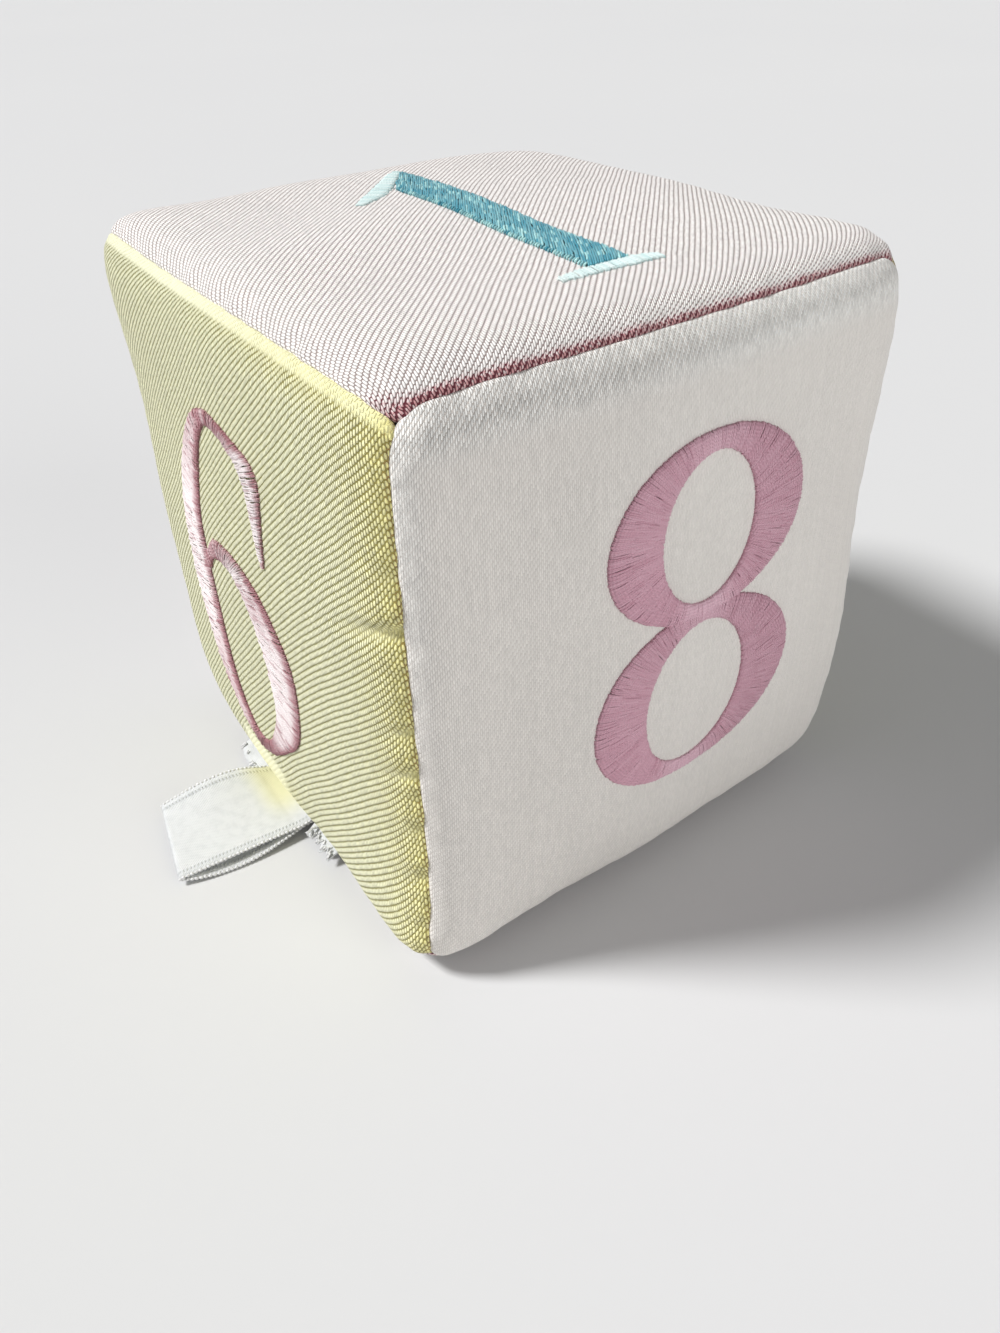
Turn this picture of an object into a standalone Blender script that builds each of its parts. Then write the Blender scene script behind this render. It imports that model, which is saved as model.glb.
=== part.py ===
"""Soft fabric block: six sewn panels round a foam core, with satin-stitched numerals.

Each panel is a crowned square of cloth whose edges roll over and turn in along the
slanted plane that it shares with its neighbour, so that two seam allowances lie face
to face behind every edge and three seams meet at every corner. A folded loop label and
the stub of a cut care label are caught in the seam between the left and bottom panels.

The front is -Y, the left side is -X, and the block stands on Z = 0.
"""

import math

import bmesh
import bpy
from mathutils import Matrix, Vector

MM = 0.001
NAME = "soft_fabric_block"

# The block, across its squared outline, before the crown of each face
BLOCK_WIDTH = 98.0 * MM
BLOCK_DEPTH = 101.1 * MM
BLOCK_HEIGHT = 106.4 * MM
CROWN = 1.9 * MM
FOOT_CROWN = 0.9 * MM
FOOT_CUT = 0.5 * MM
EDGE_SQUARENESS = 13.4
CORNER_SQUARENESS = 36.0

# Cloth, thread and clearance
CLOTH = 0.8 * MM
BACKING = 0.4 * MM
THREAD = 0.45 * MM
TOUCH = 0.3 * MM

# Seams
ROLL_RADIUS = 1.2 * MM
SEAM_ALLOWANCE = 6.4 * MM
OVERLOCK_LEG = 3.2 * MM
OVERLOCK_LENGTH_SHARE = 0.76
BACKING_SHARE = 0.88

# Satin stitching of the numerals
SATIN = 0.8 * MM
SATIN_EDGE = 0.3 * MM
SATIN_CELL = 14.0 * MM
CURVE_STEPS = 2

# The eight on the front
EIGHT_CENTRE = (4.8 * MM, 1.8 * MM)
EIGHT_UPPER_RISE = 17.3 * MM
EIGHT_LOWER_DROP = 14.2 * MM
EIGHT_UPPER_HALF = (19.9 * MM, 15.8 * MM)
EIGHT_LOWER_HALF = (21.4 * MM, 17.9 * MM)
EIGHT_UPPER_HOLE_HALF = (9.5 * MM, 12.9 * MM)
EIGHT_LOWER_HOLE_HALF = (10.7 * MM, 15.0 * MM)
EIGHT_HOLE_DROP = 0.3 * MM
EIGHT_STEPS = 20

# The six on the left side
SIX_CENTRE = (-4.8 * MM, -3.0 * MM)
SIX_WIDTH = 43.0 * MM
SIX_HEIGHT = 73.8 * MM

# The one on the top, in three pieces
ONE_CENTRE = (0.0, 0.3 * MM)
ONE_HEIGHT = 71.5 * MM

# The numerals on the two hidden sides
SEVEN_HEIGHT = 68.0 * MM
FOUR_HEIGHT = 68.0 * MM

# Ribbons caught in the lower left seam
RIBBON = 0.4 * MM
LABEL_WIDTH = 19.0 * MM
LABEL_REACH = 25.0 * MM
LABEL_OPENING = 2.8 * MM
LABEL_ARCH = 0.7 * MM
LABEL_CENTRE = 5.6 * MM
LABEL_SKEW = 2.4 * MM
LABEL_SLANT = 4.1 * MM
LABEL_TWIST = 1.6 * MM
LABEL_PRESSED = 2.5 * MM
LABEL_STEPS = 10
HINGE_STAND_OFF = 1.7 * MM
STUB_WIDTH = 40.7 * MM
STUB_CENTRE = 5.85 * MM
STUB_REACH = 3.0 * MM
SWELL_RAMP = 15.0 * MM

# Places of the mesh lines from the middle of a panel to its rim
GRID_SHARES = (0.0, 0.26, 0.52, 0.76, 0.91, 1.0)
ROLL_ANGLES = (30.0, 60.0, 90.0)
FOAM_CUTS = 7

# Outlines as shares of each numeral's size from its centre; a third value marks a corner
SIX_OUTER_SHARES = (
    (0.462, 0.443, 1), (0.325, 0.468), (0.150, 0.496), (-0.040, 0.495), (-0.195, 0.418),
    (-0.330, 0.300), (-0.445, 0.165), (-0.487, 0.020), (-0.480, -0.120), (-0.430, -0.250),
    (-0.340, -0.345), (-0.215, -0.425), (-0.080, -0.462), (0.065, -0.445), (0.235, -0.375),
    (0.400, -0.270), (0.478, -0.110), (0.465, -0.010), (0.395, 0.060), (0.275, 0.130),
    (0.110, 0.168), (-0.060, 0.164), (-0.165, 0.115), (-0.220, 0.060, 1), (-0.205, 0.175),
    (-0.165, 0.270), (-0.105, 0.370), (-0.030, 0.440), (0.080, 0.472), (0.210, 0.462),
    (0.318, 0.430, 1), (0.340, 0.330), (0.352, 0.262), (0.388, 0.228, 1), (0.415, 0.270),
    (0.440, 0.345),
)
SIX_COUNTER_SHARES = (
    (0.050, 0.122), (0.135, 0.092), (0.200, 0.010), (0.234, -0.105), (0.205, -0.245),
    (0.120, -0.355), (0.020, -0.420), (-0.075, -0.422), (-0.170, -0.360), (-0.228, -0.230),
    (-0.232, -0.090), (-0.205, 0.030), (-0.140, 0.092), (-0.040, 0.122),
)
ONE_STEM_SHARES = (
    (0.070, 0.452), (0.056, 0.180), (0.041, -0.460), (-0.057, -0.460), (-0.039, 0.180),
    (-0.032, 0.306),
)
ONE_FLAG_SHARES = (
    (-0.178, 0.220), (-0.179, 0.238), (-0.126, 0.287), (-0.066, 0.350), (-0.006, 0.413),
    (0.050, 0.466), (0.065, 0.456), (-0.037, 0.310), (-0.090, 0.264),
)
ONE_FOOT_SHARES = (
    (-0.140, -0.474), (-0.062, -0.467), (0.050, -0.467), (0.100, -0.481), (0.102, -0.497),
    (-0.140, -0.491),
)
SEVEN_SHARES = (
    (-0.300, 0.500, 1), (0.300, 0.500, 1), (0.300, 0.450, 1), (0.130, 0.190), (0.045, -0.120),
    (0.030, -0.500, 1), (-0.140, -0.500, 1), (-0.095, -0.130), (0.020, 0.160),
    (0.175, 0.395, 1), (-0.190, 0.395, 1), (-0.265, 0.270, 1), (-0.300, 0.270, 1),
)
FOUR_OUTER_SHARES = (
    (0.130, 0.500), (0.130, -0.135), (0.300, -0.135), (0.300, -0.185), (0.130, -0.185),
    (0.130, -0.450), (0.260, -0.465), (0.260, -0.500), (-0.140, -0.500), (-0.140, -0.465),
    (-0.020, -0.450), (-0.020, -0.185), (-0.330, -0.185), (-0.330, -0.150), (0.090, 0.500),
)
FOUR_COUNTER_SHARES = ((-0.020, 0.290), (-0.020, -0.135), (-0.285, -0.135))

# Cut ends of the care label: place along its outer part and how far each sticks out
STUB_BACK_SHARES = ((0.0, 1.0), (0.8, 0.85), (1.0, 0.75))
STUB_NEAR_SHARES = ((1.0, 0.55), (0.8, 1.0), (0.62, 0.35), (0.42, 0.9), (0.2, 0.4))

# Sizes that follow
HALF = Vector((BLOCK_WIDTH, BLOCK_DEPTH, BLOCK_HEIGHT)) / 2
CENTRE = Vector((0.0, 0.0, HALF.z + FOOT_CROWN - FOOT_CUT))
HALF_GAP = TOUCH / 2
TAIL = 2 * RIBBON
SEAM_SWELL = (TAIL + RIBBON + 2 * TOUCH) / 2
TAIL_ACROSS = HALF_GAP + SEAM_SWELL - TOUCH - TAIL / 2
STUB_ACROSS = -(HALF_GAP + SEAM_SWELL - TOUCH - RIBBON / 2)
EDGE_ZETA = 2 ** (-1 / EDGE_SQUARENESS)
UNDER_CLOTH = CLOTH + TOUCH
UNDER_BACKING = UNDER_CLOTH + BACKING + TOUCH

X_AXIS = Vector((1.0, 0.0, 0.0))
Y_AXIS = Vector((0.0, 1.0, 0.0))
Z_AXIS = Vector((0.0, 0.0, 1.0))

# Each panel's right, up and outward directions, seen from outside
PANELS = {
    "top": (X_AXIS, Y_AXIS, Z_AXIS),
    "bottom": (X_AXIS, -Y_AXIS, -Z_AXIS),
    "front": (X_AXIS, Z_AXIS, -Y_AXIS),
    "back": (-X_AXIS, Z_AXIS, Y_AXIS),
    "left": (-Y_AXIS, Z_AXIS, -X_AXIS),
    "right": (Y_AXIS, Z_AXIS, X_AXIS),
}
BACKED = ("top", "front", "back", "left", "right")

# The seam that holds the ribbons; the loop's tails lie on the left panel's side of it
RIBBON_SEAM = ("bottom", "left")

COLOURS = {
    "pink_twill": (0.80, 0.66, 0.67),
    "yellow_twill": (0.76, 0.74, 0.44),
    "white_cotton": (0.84, 0.82, 0.78),
    "foam": (0.90, 0.84, 0.62),
    "backing": (0.93, 0.93, 0.91),
    "seam_thread": (0.62, 0.55, 0.50),
    "satin_teal": (0.07, 0.33, 0.42),
    "satin_aqua": (0.50, 0.82, 0.82),
    "satin_rose": (0.52, 0.24, 0.33),
    "satin_blush": (0.78, 0.60, 0.62),
    "ribbon": (0.90, 0.90, 0.88),
}
CLOTH_OF = {
    "top": "pink_twill",
    "bottom": "pink_twill",
    "front": "white_cotton",
    "back": "white_cotton",
    "left": "yellow_twill",
    "right": "yellow_twill",
}


def clear_scene():
    for item in list(bpy.data.objects):
        bpy.data.objects.remove(item, do_unlink=True)


def new_collection(name):
    collection = bpy.data.collections.new(name)
    bpy.context.scene.collection.children.link(collection)
    return collection


def cloth_material(node, colour, roughness):
    material = bpy.data.materials.new(node)
    material.use_nodes = True
    shader = material.node_tree.nodes["Principled BSDF"]
    shader.inputs["Base Color"].default_value = (*COLOURS[colour], 1.0)
    shader.inputs["Roughness"].default_value = roughness
    shader.inputs["Metallic"].default_value = 0.0
    return material


def add_part(node, mesh, colour, collection, roughness=0.85):
    part = bpy.data.objects.new(node, mesh)
    mesh.materials.clear()
    mesh.materials.append(cloth_material(node, colour, roughness))
    collection.objects.link(part)
    return part


def add_thickness(part, thickness):
    shell = part.modifiers.new("thickness", "SOLIDIFY")
    shell.thickness = thickness
    shell.offset = -1.0
    shell.use_even_offset = True


def shade(part, angle):
    part.data.shade_smooth()
    part.data.set_sharp_from_angle(angle=math.radians(angle))


def mesh_of(name, bm):
    mesh = bpy.data.meshes.new(name)
    bm.to_mesh(mesh)
    bm.free()
    return mesh


def placed(mesh, matrix):
    """Moves a closed mesh into place and turns its faces outward."""
    bm = bmesh.new()
    bm.from_mesh(mesh)
    bmesh.ops.transform(bm, matrix=matrix, verts=bm.verts)
    bmesh.ops.recalc_face_normals(bm, faces=bm.faces)
    bm.to_mesh(mesh)
    bm.free()
    return mesh


def frame_matrix(x_column, y_column, z_column, origin):
    matrix = Matrix((x_column, y_column, z_column)).transposed().to_4x4()
    matrix.translation = origin
    return matrix


# The crowned surface that panels, backings, foam and numerals share

def extent(direction):
    """Half size of the block along a direction."""
    return abs(direction.dot(HALF))


def panel_sizes(panel):
    right, up, out = PANELS[panel]
    return extent(right), extent(up), extent(out)


def ray_step(distance, across, out):
    """Change of ray share that moves a point this far from the slanted seam plane."""
    return distance * math.hypot(across, out) / (EDGE_ZETA * across * out)


def rim_share(across, out):
    return 1 - ray_step(HALF_GAP + ROLL_RADIUS, across, out)


def rounding(a, b):
    """Share of the squared outline that the rounded block keeps at ray shares a, b."""
    total = 1 + abs(a) ** EDGE_SQUARENESS + abs(b) ** EDGE_SQUARENESS
    return total ** (-1 / EDGE_SQUARENESS)


def crown_at(panel, a, b):
    wide, tall, deep = panel_sizes(panel)
    height = FOOT_CROWN if panel == "bottom" else CROWN
    fade_a = max(0.0, 1 - (a / rim_share(wide, deep)) ** 2)
    fade_b = max(0.0, 1 - (b / rim_share(tall, deep)) ** 2)
    return height * fade_a * fade_b


def to_world(panel, local):
    right, up, out = PANELS[panel]
    return CENTRE + right * local.x + up * local.y + out * local.z


def surface(panel, a, b, lift=0.0):
    """Point above a panel's outer face at ray shares a, b; the foot is cut flat."""
    wide, tall, deep = panel_sizes(panel)
    zeta = rounding(a, b)
    level = deep * zeta + crown_at(panel, a, b)
    if panel == "bottom":
        level = min(level, CENTRE.z)
    return to_world(panel, Vector((a * wide * zeta, b * tall * zeta, level + lift)))


# Seams: the slanted plane between two neighbouring panels

def seam_pairs():
    names = list(PANELS)
    pairs = []
    for index, first in enumerate(names):
        for second in names[index + 1:]:
            if PANELS[first][2].dot(PANELS[second][2]) == 0.0:
                pairs.append((first, second))
    return pairs


def seam_axes(pair):
    """Directions along a seam, outward through the edge, and across to the second panel."""
    one = PANELS[pair[0]][2]
    two = PANELS[pair[1]][2]
    reach = math.hypot(extent(one), extent(two))
    outward = (one * extent(one) + two * extent(two)) / reach
    across = (two * extent(one) - one * extent(two)) / reach
    return outward.cross(across), outward, across


def seam_levels(pair):
    """Distances outward from the block's middle: seam mouth and raw inner edge."""
    reach = math.hypot(extent(PANELS[pair[0]][2]), extent(PANELS[pair[1]][2]))
    mouth = EDGE_ZETA * reach
    return mouth, mouth - ROLL_RADIUS - SEAM_ALLOWANCE


def half_stack(pair):
    """Half of the two allowances' thickness and of what is caught between them."""
    swell = SEAM_SWELL if pair == RIBBON_SEAM else 0.0
    return HALF_GAP + swell + CLOTH


def caught_swell(panel, side, place):
    """Extra half gap along the seam that opens for the two ribbons."""
    if (panel, side) not in (("left", "lower"), ("bottom", "leftward")):
        return 0.0
    beyond = max(0.0, abs(-place - STUB_CENTRE) - STUB_WIDTH / 2)
    share = max(0.0, 1 - beyond / SWELL_RAMP)
    return SEAM_SWELL * share * share * (3 - 2 * share)


# Panels

def softened(p, q):
    """Moves places of a square grid onto a square with rounded corners."""
    reach = max(abs(p), abs(q))
    if reach == 0.0:
        return p, q
    power = CORNER_SQUARENESS
    squeeze = reach / (abs(p) ** power + abs(q) ** power) ** (1 / power)
    return p * squeeze, q * squeeze


def rim_places(panel, p, q):
    """Ray shares of the face's rim and of the turned-in allowance beside place p, q."""
    wide, tall, deep = panel_sizes(panel)
    gap_across = HALF_GAP + caught_swell(panel, "leftward" if p < 0 else "rightward", q * tall)
    gap_up = HALF_GAP + caught_swell(panel, "lower" if q < 0 else "upper", p * wide)
    rim = (1 - ray_step(gap_across + ROLL_RADIUS, wide, deep),
           1 - ray_step(gap_up + ROLL_RADIUS, tall, deep))
    turned = (1 - ray_step(gap_across, wide, deep),
              1 - ray_step(gap_up, tall, deep))
    return rim, turned


def face_place(panel, p, q):
    """Face shares of a grid place: the rim's own gap counts fully only at the rim."""
    wide, tall, deep = panel_sizes(panel)
    a, b = softened(p, q)
    rim, _ = rim_places(panel, p, q)
    plain = (rim_share(wide, deep), rim_share(tall, deep))
    weight_a = abs(p) ** 4
    weight_b = abs(q) ** 4
    return (a * (plain[0] + (rim[0] - plain[0]) * weight_a),
            b * (plain[1] + (rim[1] - plain[1]) * weight_b))


def ring_point(panel, p, q, ring):
    """Point of the rolled edge; the ring after the last angle is the raw edge."""
    wide, tall, deep = panel_sizes(panel)
    a, b = softened(p, q)
    face_a, face_b = face_place(panel, p, q)
    _, turned = rim_places(panel, p, q)
    angle = math.radians(ROLL_ANGLES[min(ring, len(ROLL_ANGLES) - 1)])
    ray_a = face_a + (a * turned[0] - face_a) * math.sin(angle)
    ray_b = face_b + (b * turned[1] - face_b) * math.sin(angle)
    dip = ROLL_RADIUS * (1 - math.cos(angle))
    if ring == len(ROLL_ANGLES):
        dip += SEAM_ALLOWANCE
    ray = Vector((ray_a * wide, ray_b * tall, deep))
    return to_world(panel, ray * (rounding(face_a, face_b) - dip / ray.length))


def extrude_rim(bm, rim):
    """Extrudes a closed rim once; returns the new rim and each new point's source."""
    old = {vert for edge in rim for vert in edge.verts}
    made = bmesh.ops.extrude_edge_only(bm, edges=rim)["geom"]
    new_verts = {item for item in made if isinstance(item, bmesh.types.BMVert)}
    new_rim = [item for item in made
               if isinstance(item, bmesh.types.BMEdge) and set(item.verts) <= new_verts]
    sources = {}
    for vert in new_verts:
        for edge in vert.link_edges:
            if edge.other_vert(vert) in old:
                sources[vert] = edge.other_vert(vert)
    return new_rim, sources


def sheet_grid(shares):
    """Square grid with lines at these shares either side of the middle, and its places."""
    lines = [-share for share in reversed(shares[1:])] + list(shares)
    cells = len(lines) - 1
    bm = bmesh.new()
    bmesh.ops.create_grid(bm, x_segments=cells, y_segments=cells, size=1.0)
    places = {}
    for vert in bm.verts:
        column = round((vert.co.x + 1) / 2 * cells)
        row = round((vert.co.y + 1) / 2 * cells)
        places[vert] = (lines[column], lines[row])
    return bm, places


def panel_mesh(panel):
    """Open cloth of one panel: crowned face, rolled edge and turned-in allowance."""
    bm, places = sheet_grid(GRID_SHARES)
    rim = [edge for edge in bm.edges if edge.is_boundary]
    for vert, (p, q) in places.items():
        vert.co = surface(panel, *face_place(panel, p, q))
    for ring in range(len(ROLL_ANGLES) + 1):
        rim, sources = extrude_rim(bm, rim)
        for vert, source in sources.items():
            places[vert] = places[source]
            vert.co = ring_point(panel, *places[vert], ring)
    face_outward(bm, panel)
    return mesh_of(f"panel_{panel}", bm)


def face_outward(bm, panel):
    """Turns an open sheet's faces the panel's way out."""
    bmesh.ops.recalc_face_normals(bm, faces=bm.faces)
    middle = surface(panel, 0.0, 0.0)
    nearest = min(bm.faces, key=lambda face: (face.calc_center_median() - middle).length)
    if nearest.normal.dot(PANELS[panel][2]) < 0:
        bmesh.ops.reverse_faces(bm, faces=bm.faces)


def build_panels(parts):
    for panel in PANELS:
        part = add_part(f"panel_{panel}", panel_mesh(panel), CLOTH_OF[panel], parts)
        add_thickness(part, CLOTH)
        shade(part, 50.0)


def build_backings(parts):
    """Non-woven sheets behind the stitched panels, between the cloth and the foam."""
    foam_lines = (FOAM_CUTS + 1) // 2
    shares = [line / foam_lines for line in range(foam_lines)] + [BACKING_SHARE]
    for panel in BACKED:
        bm, places = sheet_grid(shares)
        for vert, (a, b) in places.items():
            vert.co = surface(panel, a, b, -UNDER_CLOTH)
        face_outward(bm, panel)
        node = f"embroidery_backing_{panel}"
        part = add_part(node, mesh_of(node, bm), "backing", parts)
        add_thickness(part, BACKING)
        shade(part, 50.0)


# Flat outlines

def flat_mesh(name, loops, thickness, curved=False):
    """Closed mesh of a flat outline with holes, centred on its thickness."""
    curve = bpy.data.curves.new(name, "CURVE")
    curve.dimensions = "2D"
    curve.fill_mode = "BOTH"
    curve.extrude = thickness / 2
    curve.resolution_u = CURVE_STEPS
    for loop in loops:
        spline = curve.splines.new("BEZIER" if curved else "POLY")
        spline.use_cyclic_u = True
        if curved:
            spline.bezier_points.add(len(loop) - 1)
            for point, place in zip(spline.bezier_points, loop):
                point.co = (place[0], place[1], 0.0)
                kind = "VECTOR" if len(place) > 2 else "AUTO"
                point.handle_left_type = kind
                point.handle_right_type = kind
        else:
            spline.points.add(len(loop) - 1)
            for point, place in zip(spline.points, loop):
                point.co = (place[0], place[1], 0.0, 1.0)
    drawn = bpy.data.objects.new(name, curve)
    bpy.context.scene.collection.objects.link(drawn)
    seen = drawn.evaluated_get(bpy.context.evaluated_depsgraph_get())
    mesh = bpy.data.meshes.new_from_object(seen)
    bpy.data.objects.remove(drawn, do_unlink=True)
    bpy.data.curves.remove(curve)
    bm = bmesh.new()
    bm.from_mesh(mesh)
    bmesh.ops.remove_doubles(bm, verts=bm.verts, dist=TOUCH / 100)
    bmesh.ops.recalc_face_normals(bm, faces=bm.faces)
    bm.to_mesh(mesh)
    bm.free()
    return mesh


def ellipse(centre, half_width, half_height, start=0.0, end=360.0, steps=EIGHT_STEPS):
    """Points from one angle to another, the last left out so that arcs can follow on."""
    points = []
    for step in range(steps):
        angle = math.radians(start + (end - start) * step / steps)
        points.append((centre[0] + half_width * math.cos(angle),
                       centre[1] + half_height * math.sin(angle)))
    return points


def scaled(shares, centre, wide, tall):
    """Outline points from shares of a width and a height; corner marks are kept."""
    return [(centre[0] + point[0] * wide, centre[1] + point[1] * tall, *point[2:])
            for point in shares]


# Satin numerals

def slice_up(bm):
    """Cuts a flat outline into cells small enough to follow the panel's crown."""
    for axis in (X_AXIS, Y_AXIS):
        reach = max(abs(vert.co.dot(axis)) for vert in bm.verts)
        count = int(reach / SATIN_CELL)
        for step in range(-count, count + 1):
            geometry = list(bm.verts) + list(bm.edges) + list(bm.faces)
            bmesh.ops.bisect_plane(bm, geom=geometry, dist=TOUCH / 1000,
                                   plane_co=axis * (step * SATIN_CELL), plane_no=axis)


def stitch(node, panel, loops, colour, parts, curved=False):
    """Satin stitched shape with softened top edges, laid a touch clear of its panel."""
    mesh = flat_mesh(node, loops, SATIN, curved)
    wide, tall, _ = panel_sizes(panel)
    bm = bmesh.new()
    bm.from_mesh(mesh)
    top_rim = [edge for edge in bm.edges
               if edge.calc_length() > 0 and min(vert.co.z for vert in edge.verts) > 0
               and edge.calc_face_angle(0.0) > math.radians(60)]
    bmesh.ops.bevel(bm, geom=top_rim, offset=SATIN_EDGE, segments=1, affect="EDGES",
                    clamp_overlap=True)
    slice_up(bm)
    for vert in bm.verts:
        lift = TOUCH + SATIN / 2 + vert.co.z
        vert.co = surface(panel, vert.co.x / wide, vert.co.y / tall, lift)
    bmesh.ops.recalc_face_normals(bm, faces=bm.faces)
    bm.to_mesh(mesh)
    bm.free()
    part = add_part(node, mesh, colour, parts, roughness=0.45)
    shade(part, 35.0)


def waist_height(upper, upper_half, lower, lower_half):
    """Height where the outlines of the eight's two lobes cross."""
    low = upper[1] - upper_half[1]
    high = lower[1] + lower_half[1]
    for _ in range(50):
        middle = (low + high) / 2
        upper_rise = (middle - upper[1]) / upper_half[1]
        lower_rise = (middle - lower[1]) / lower_half[1]
        upper_reach = upper_half[0] * math.sqrt(max(0.0, 1 - upper_rise ** 2))
        lower_reach = lower_half[0] * math.sqrt(max(0.0, 1 - lower_rise ** 2))
        if upper_reach > lower_reach:
            high = middle
        else:
            low = middle
    return (low + high) / 2


def build_eight(parts):
    x, y = EIGHT_CENTRE
    upper = (x, y + EIGHT_UPPER_RISE)
    lower = (x, y - EIGHT_LOWER_DROP)
    waist = waist_height(upper, EIGHT_UPPER_HALF, lower, EIGHT_LOWER_HALF)
    turn_up = math.degrees(math.asin((waist - upper[1]) / EIGHT_UPPER_HALF[1]))
    turn_down = math.degrees(math.asin((waist - lower[1]) / EIGHT_LOWER_HALF[1]))
    outline = ellipse(upper, *EIGHT_UPPER_HALF, turn_up, 180 - turn_up)
    outline += ellipse(lower, *EIGHT_LOWER_HALF, 180 - turn_down, 360 + turn_down)
    upper_hole = ellipse((x, upper[1] - EIGHT_HOLE_DROP), *EIGHT_UPPER_HOLE_HALF)
    lower_hole = ellipse((x, lower[1] - EIGHT_HOLE_DROP), *EIGHT_LOWER_HOLE_HALF)
    stitch("numeral_eight", "front", [outline, upper_hole, lower_hole], "satin_rose", parts)


def build_six(parts):
    outer = scaled(SIX_OUTER_SHARES, SIX_CENTRE, SIX_WIDTH, SIX_HEIGHT)
    counter = scaled(SIX_COUNTER_SHARES, SIX_CENTRE, SIX_WIDTH, SIX_HEIGHT)
    stitch("numeral_six", "left", [outer, counter], "satin_blush", parts, curved=True)


def build_one(parts):
    pieces = (
        ("numeral_one_stem", ONE_STEM_SHARES, "satin_teal"),
        ("numeral_one_flag", ONE_FLAG_SHARES, "satin_aqua"),
        ("numeral_one_foot", ONE_FOOT_SHARES, "satin_aqua"),
    )
    for node, shares, colour in pieces:
        loop = scaled(shares, ONE_CENTRE, ONE_HEIGHT, ONE_HEIGHT)
        stitch(node, "top", [loop], colour, parts)


def build_hidden_numerals(parts):
    middle = (0.0, 0.0)
    seven = scaled(SEVEN_SHARES, middle, SEVEN_HEIGHT, SEVEN_HEIGHT)
    stitch("numeral_seven", "right", [seven], "satin_blush", parts, curved=True)
    four = scaled(FOUR_OUTER_SHARES, middle, FOUR_HEIGHT, FOUR_HEIGHT)
    counter = scaled(FOUR_COUNTER_SHARES, middle, FOUR_HEIGHT, FOUR_HEIGHT)
    stitch("numeral_four", "back", [four, counter], "satin_rose", parts)


# Overlocked edges: thread wrapped round each pair of allowances

def build_overlocks(parts):
    for pair in seam_pairs():
        run, outward, across = seam_axes(pair)
        _, raw = seam_levels(pair)
        inner = half_stack(pair) + TOUCH
        outer = inner + THREAD
        web_top = raw - TOUCH
        web_base = web_top - THREAD
        leg_top = raw + OVERLOCK_LEG
        channel = [(-outer, web_base), (outer, web_base), (outer, leg_top), (inner, leg_top),
                   (inner, web_top), (-inner, web_top), (-inner, leg_top), (-outer, leg_top)]
        node = "overlock_" + "_".join(pair)
        mesh = flat_mesh(node, [channel], 2 * extent(run) * OVERLOCK_LENGTH_SHARE)
        placed(mesh, frame_matrix(across, outward, run, CENTRE))
        add_part(node, mesh, "seam_thread", parts)


# Foam core, pressed in along every edge by the turned-in allowances

def foam_point(unit):
    """Place inside the cloth for a point on the cube that runs from -1 to 1."""
    squared = sum(abs(share) ** EDGE_SQUARENESS for share in unit)
    zeta = squared ** (-1 / EDGE_SQUARENESS)
    point = CENTRE + Vector([share * size * zeta for share, size in zip(unit, HALF)])
    for panel, (right, up, out) in PANELS.items():
        if unit.dot(out) == 1.0:
            sunk = UNDER_BACKING if panel in BACKED else UNDER_CLOTH
            point += out * (crown_at(panel, unit.dot(right), unit.dot(up)) - sunk)
    point.z = max(point.z, UNDER_CLOTH)
    return point


def build_foam(parts, cutters):
    bm = bmesh.new()
    bmesh.ops.create_cube(bm, size=2.0)
    bmesh.ops.subdivide_edges(bm, edges=bm.edges, cuts=FOAM_CUTS, use_grid_fill=True)
    for vert in bm.verts:
        vert.co = foam_point(vert.co.copy())
    foam = add_part("foam_core", mesh_of("foam_core", bm), "foam", parts)
    for pair in seam_pairs():
        run, outward, across = seam_axes(pair)
        mouth, raw = seam_levels(pair)
        half_slot = half_stack(pair) + 2 * TOUCH + THREAD
        base = raw - 2 * TOUCH - THREAD
        low = Vector((-extent(run) - CROWN, base, -half_slot))
        high = Vector((extent(run) + CROWN, mouth / EDGE_ZETA, half_slot))
        node = "slot_" + "_".join(pair)
        slot = bpy.data.objects.new(node, box_mesh(node, low, high))
        placed(slot.data, frame_matrix(run, outward, across, CENTRE))
        slot.hide_render = True
        slot.display_type = "WIRE"
        cutters.objects.link(slot)
    slots = foam.modifiers.new("slots", "BOOLEAN")
    slots.operand_type = "COLLECTION"
    slots.collection = cutters
    slots.operation = "DIFFERENCE"
    slots.solver = "EXACT"
    shade(foam, 30.0)


def box_mesh(name, low, high):
    bm = bmesh.new()
    bmesh.ops.create_cube(bm, size=1.0)
    bmesh.ops.scale(bm, vec=high - low, verts=bm.verts)
    bmesh.ops.translate(bm, vec=(low + high) / 2, verts=bm.verts)
    return mesh_of(name, bm)


# Ribbons in the lower left seam

def hinge_point():
    _, outward, across = seam_axes(RIBBON_SEAM)
    mouth, _ = seam_levels(RIBBON_SEAM)
    return (CENTRE + outward * (mouth + HINGE_STAND_OFF) + across * TAIL_ACROSS
            + Y_AXIS * LABEL_CENTRE)


def build_label_tails(parts):
    """The loop's two ends, pressed together between the allowances."""
    run, outward, across = seam_axes(RIBBON_SEAM)
    mouth, raw = seam_levels(RIBBON_SEAM)
    low = Vector((LABEL_CENTRE - LABEL_WIDTH / 2, raw, TAIL_ACROSS - TAIL / 2))
    high = Vector((LABEL_CENTRE + LABEL_WIDTH / 2, mouth + HINGE_STAND_OFF - TAIL / 2 - TOUCH,
                   TAIL_ACROSS + TAIL / 2))
    mesh = placed(box_mesh("label_tails", low, high),
                  frame_matrix(run, outward, across, CENTRE))
    add_part("label_tails", mesh, "ribbon", parts, roughness=0.4)


def loop_height(share):
    """Height of the loop's middle line at a share of its reach."""
    return LABEL_ARCH * math.sin(math.pi * share)


def loop_opening(share):
    """Distance between the loop's two layers at a share of the part that opens."""
    return LABEL_OPENING * math.sin(math.pi * min(1.0, share) ** 1.3)


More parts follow.
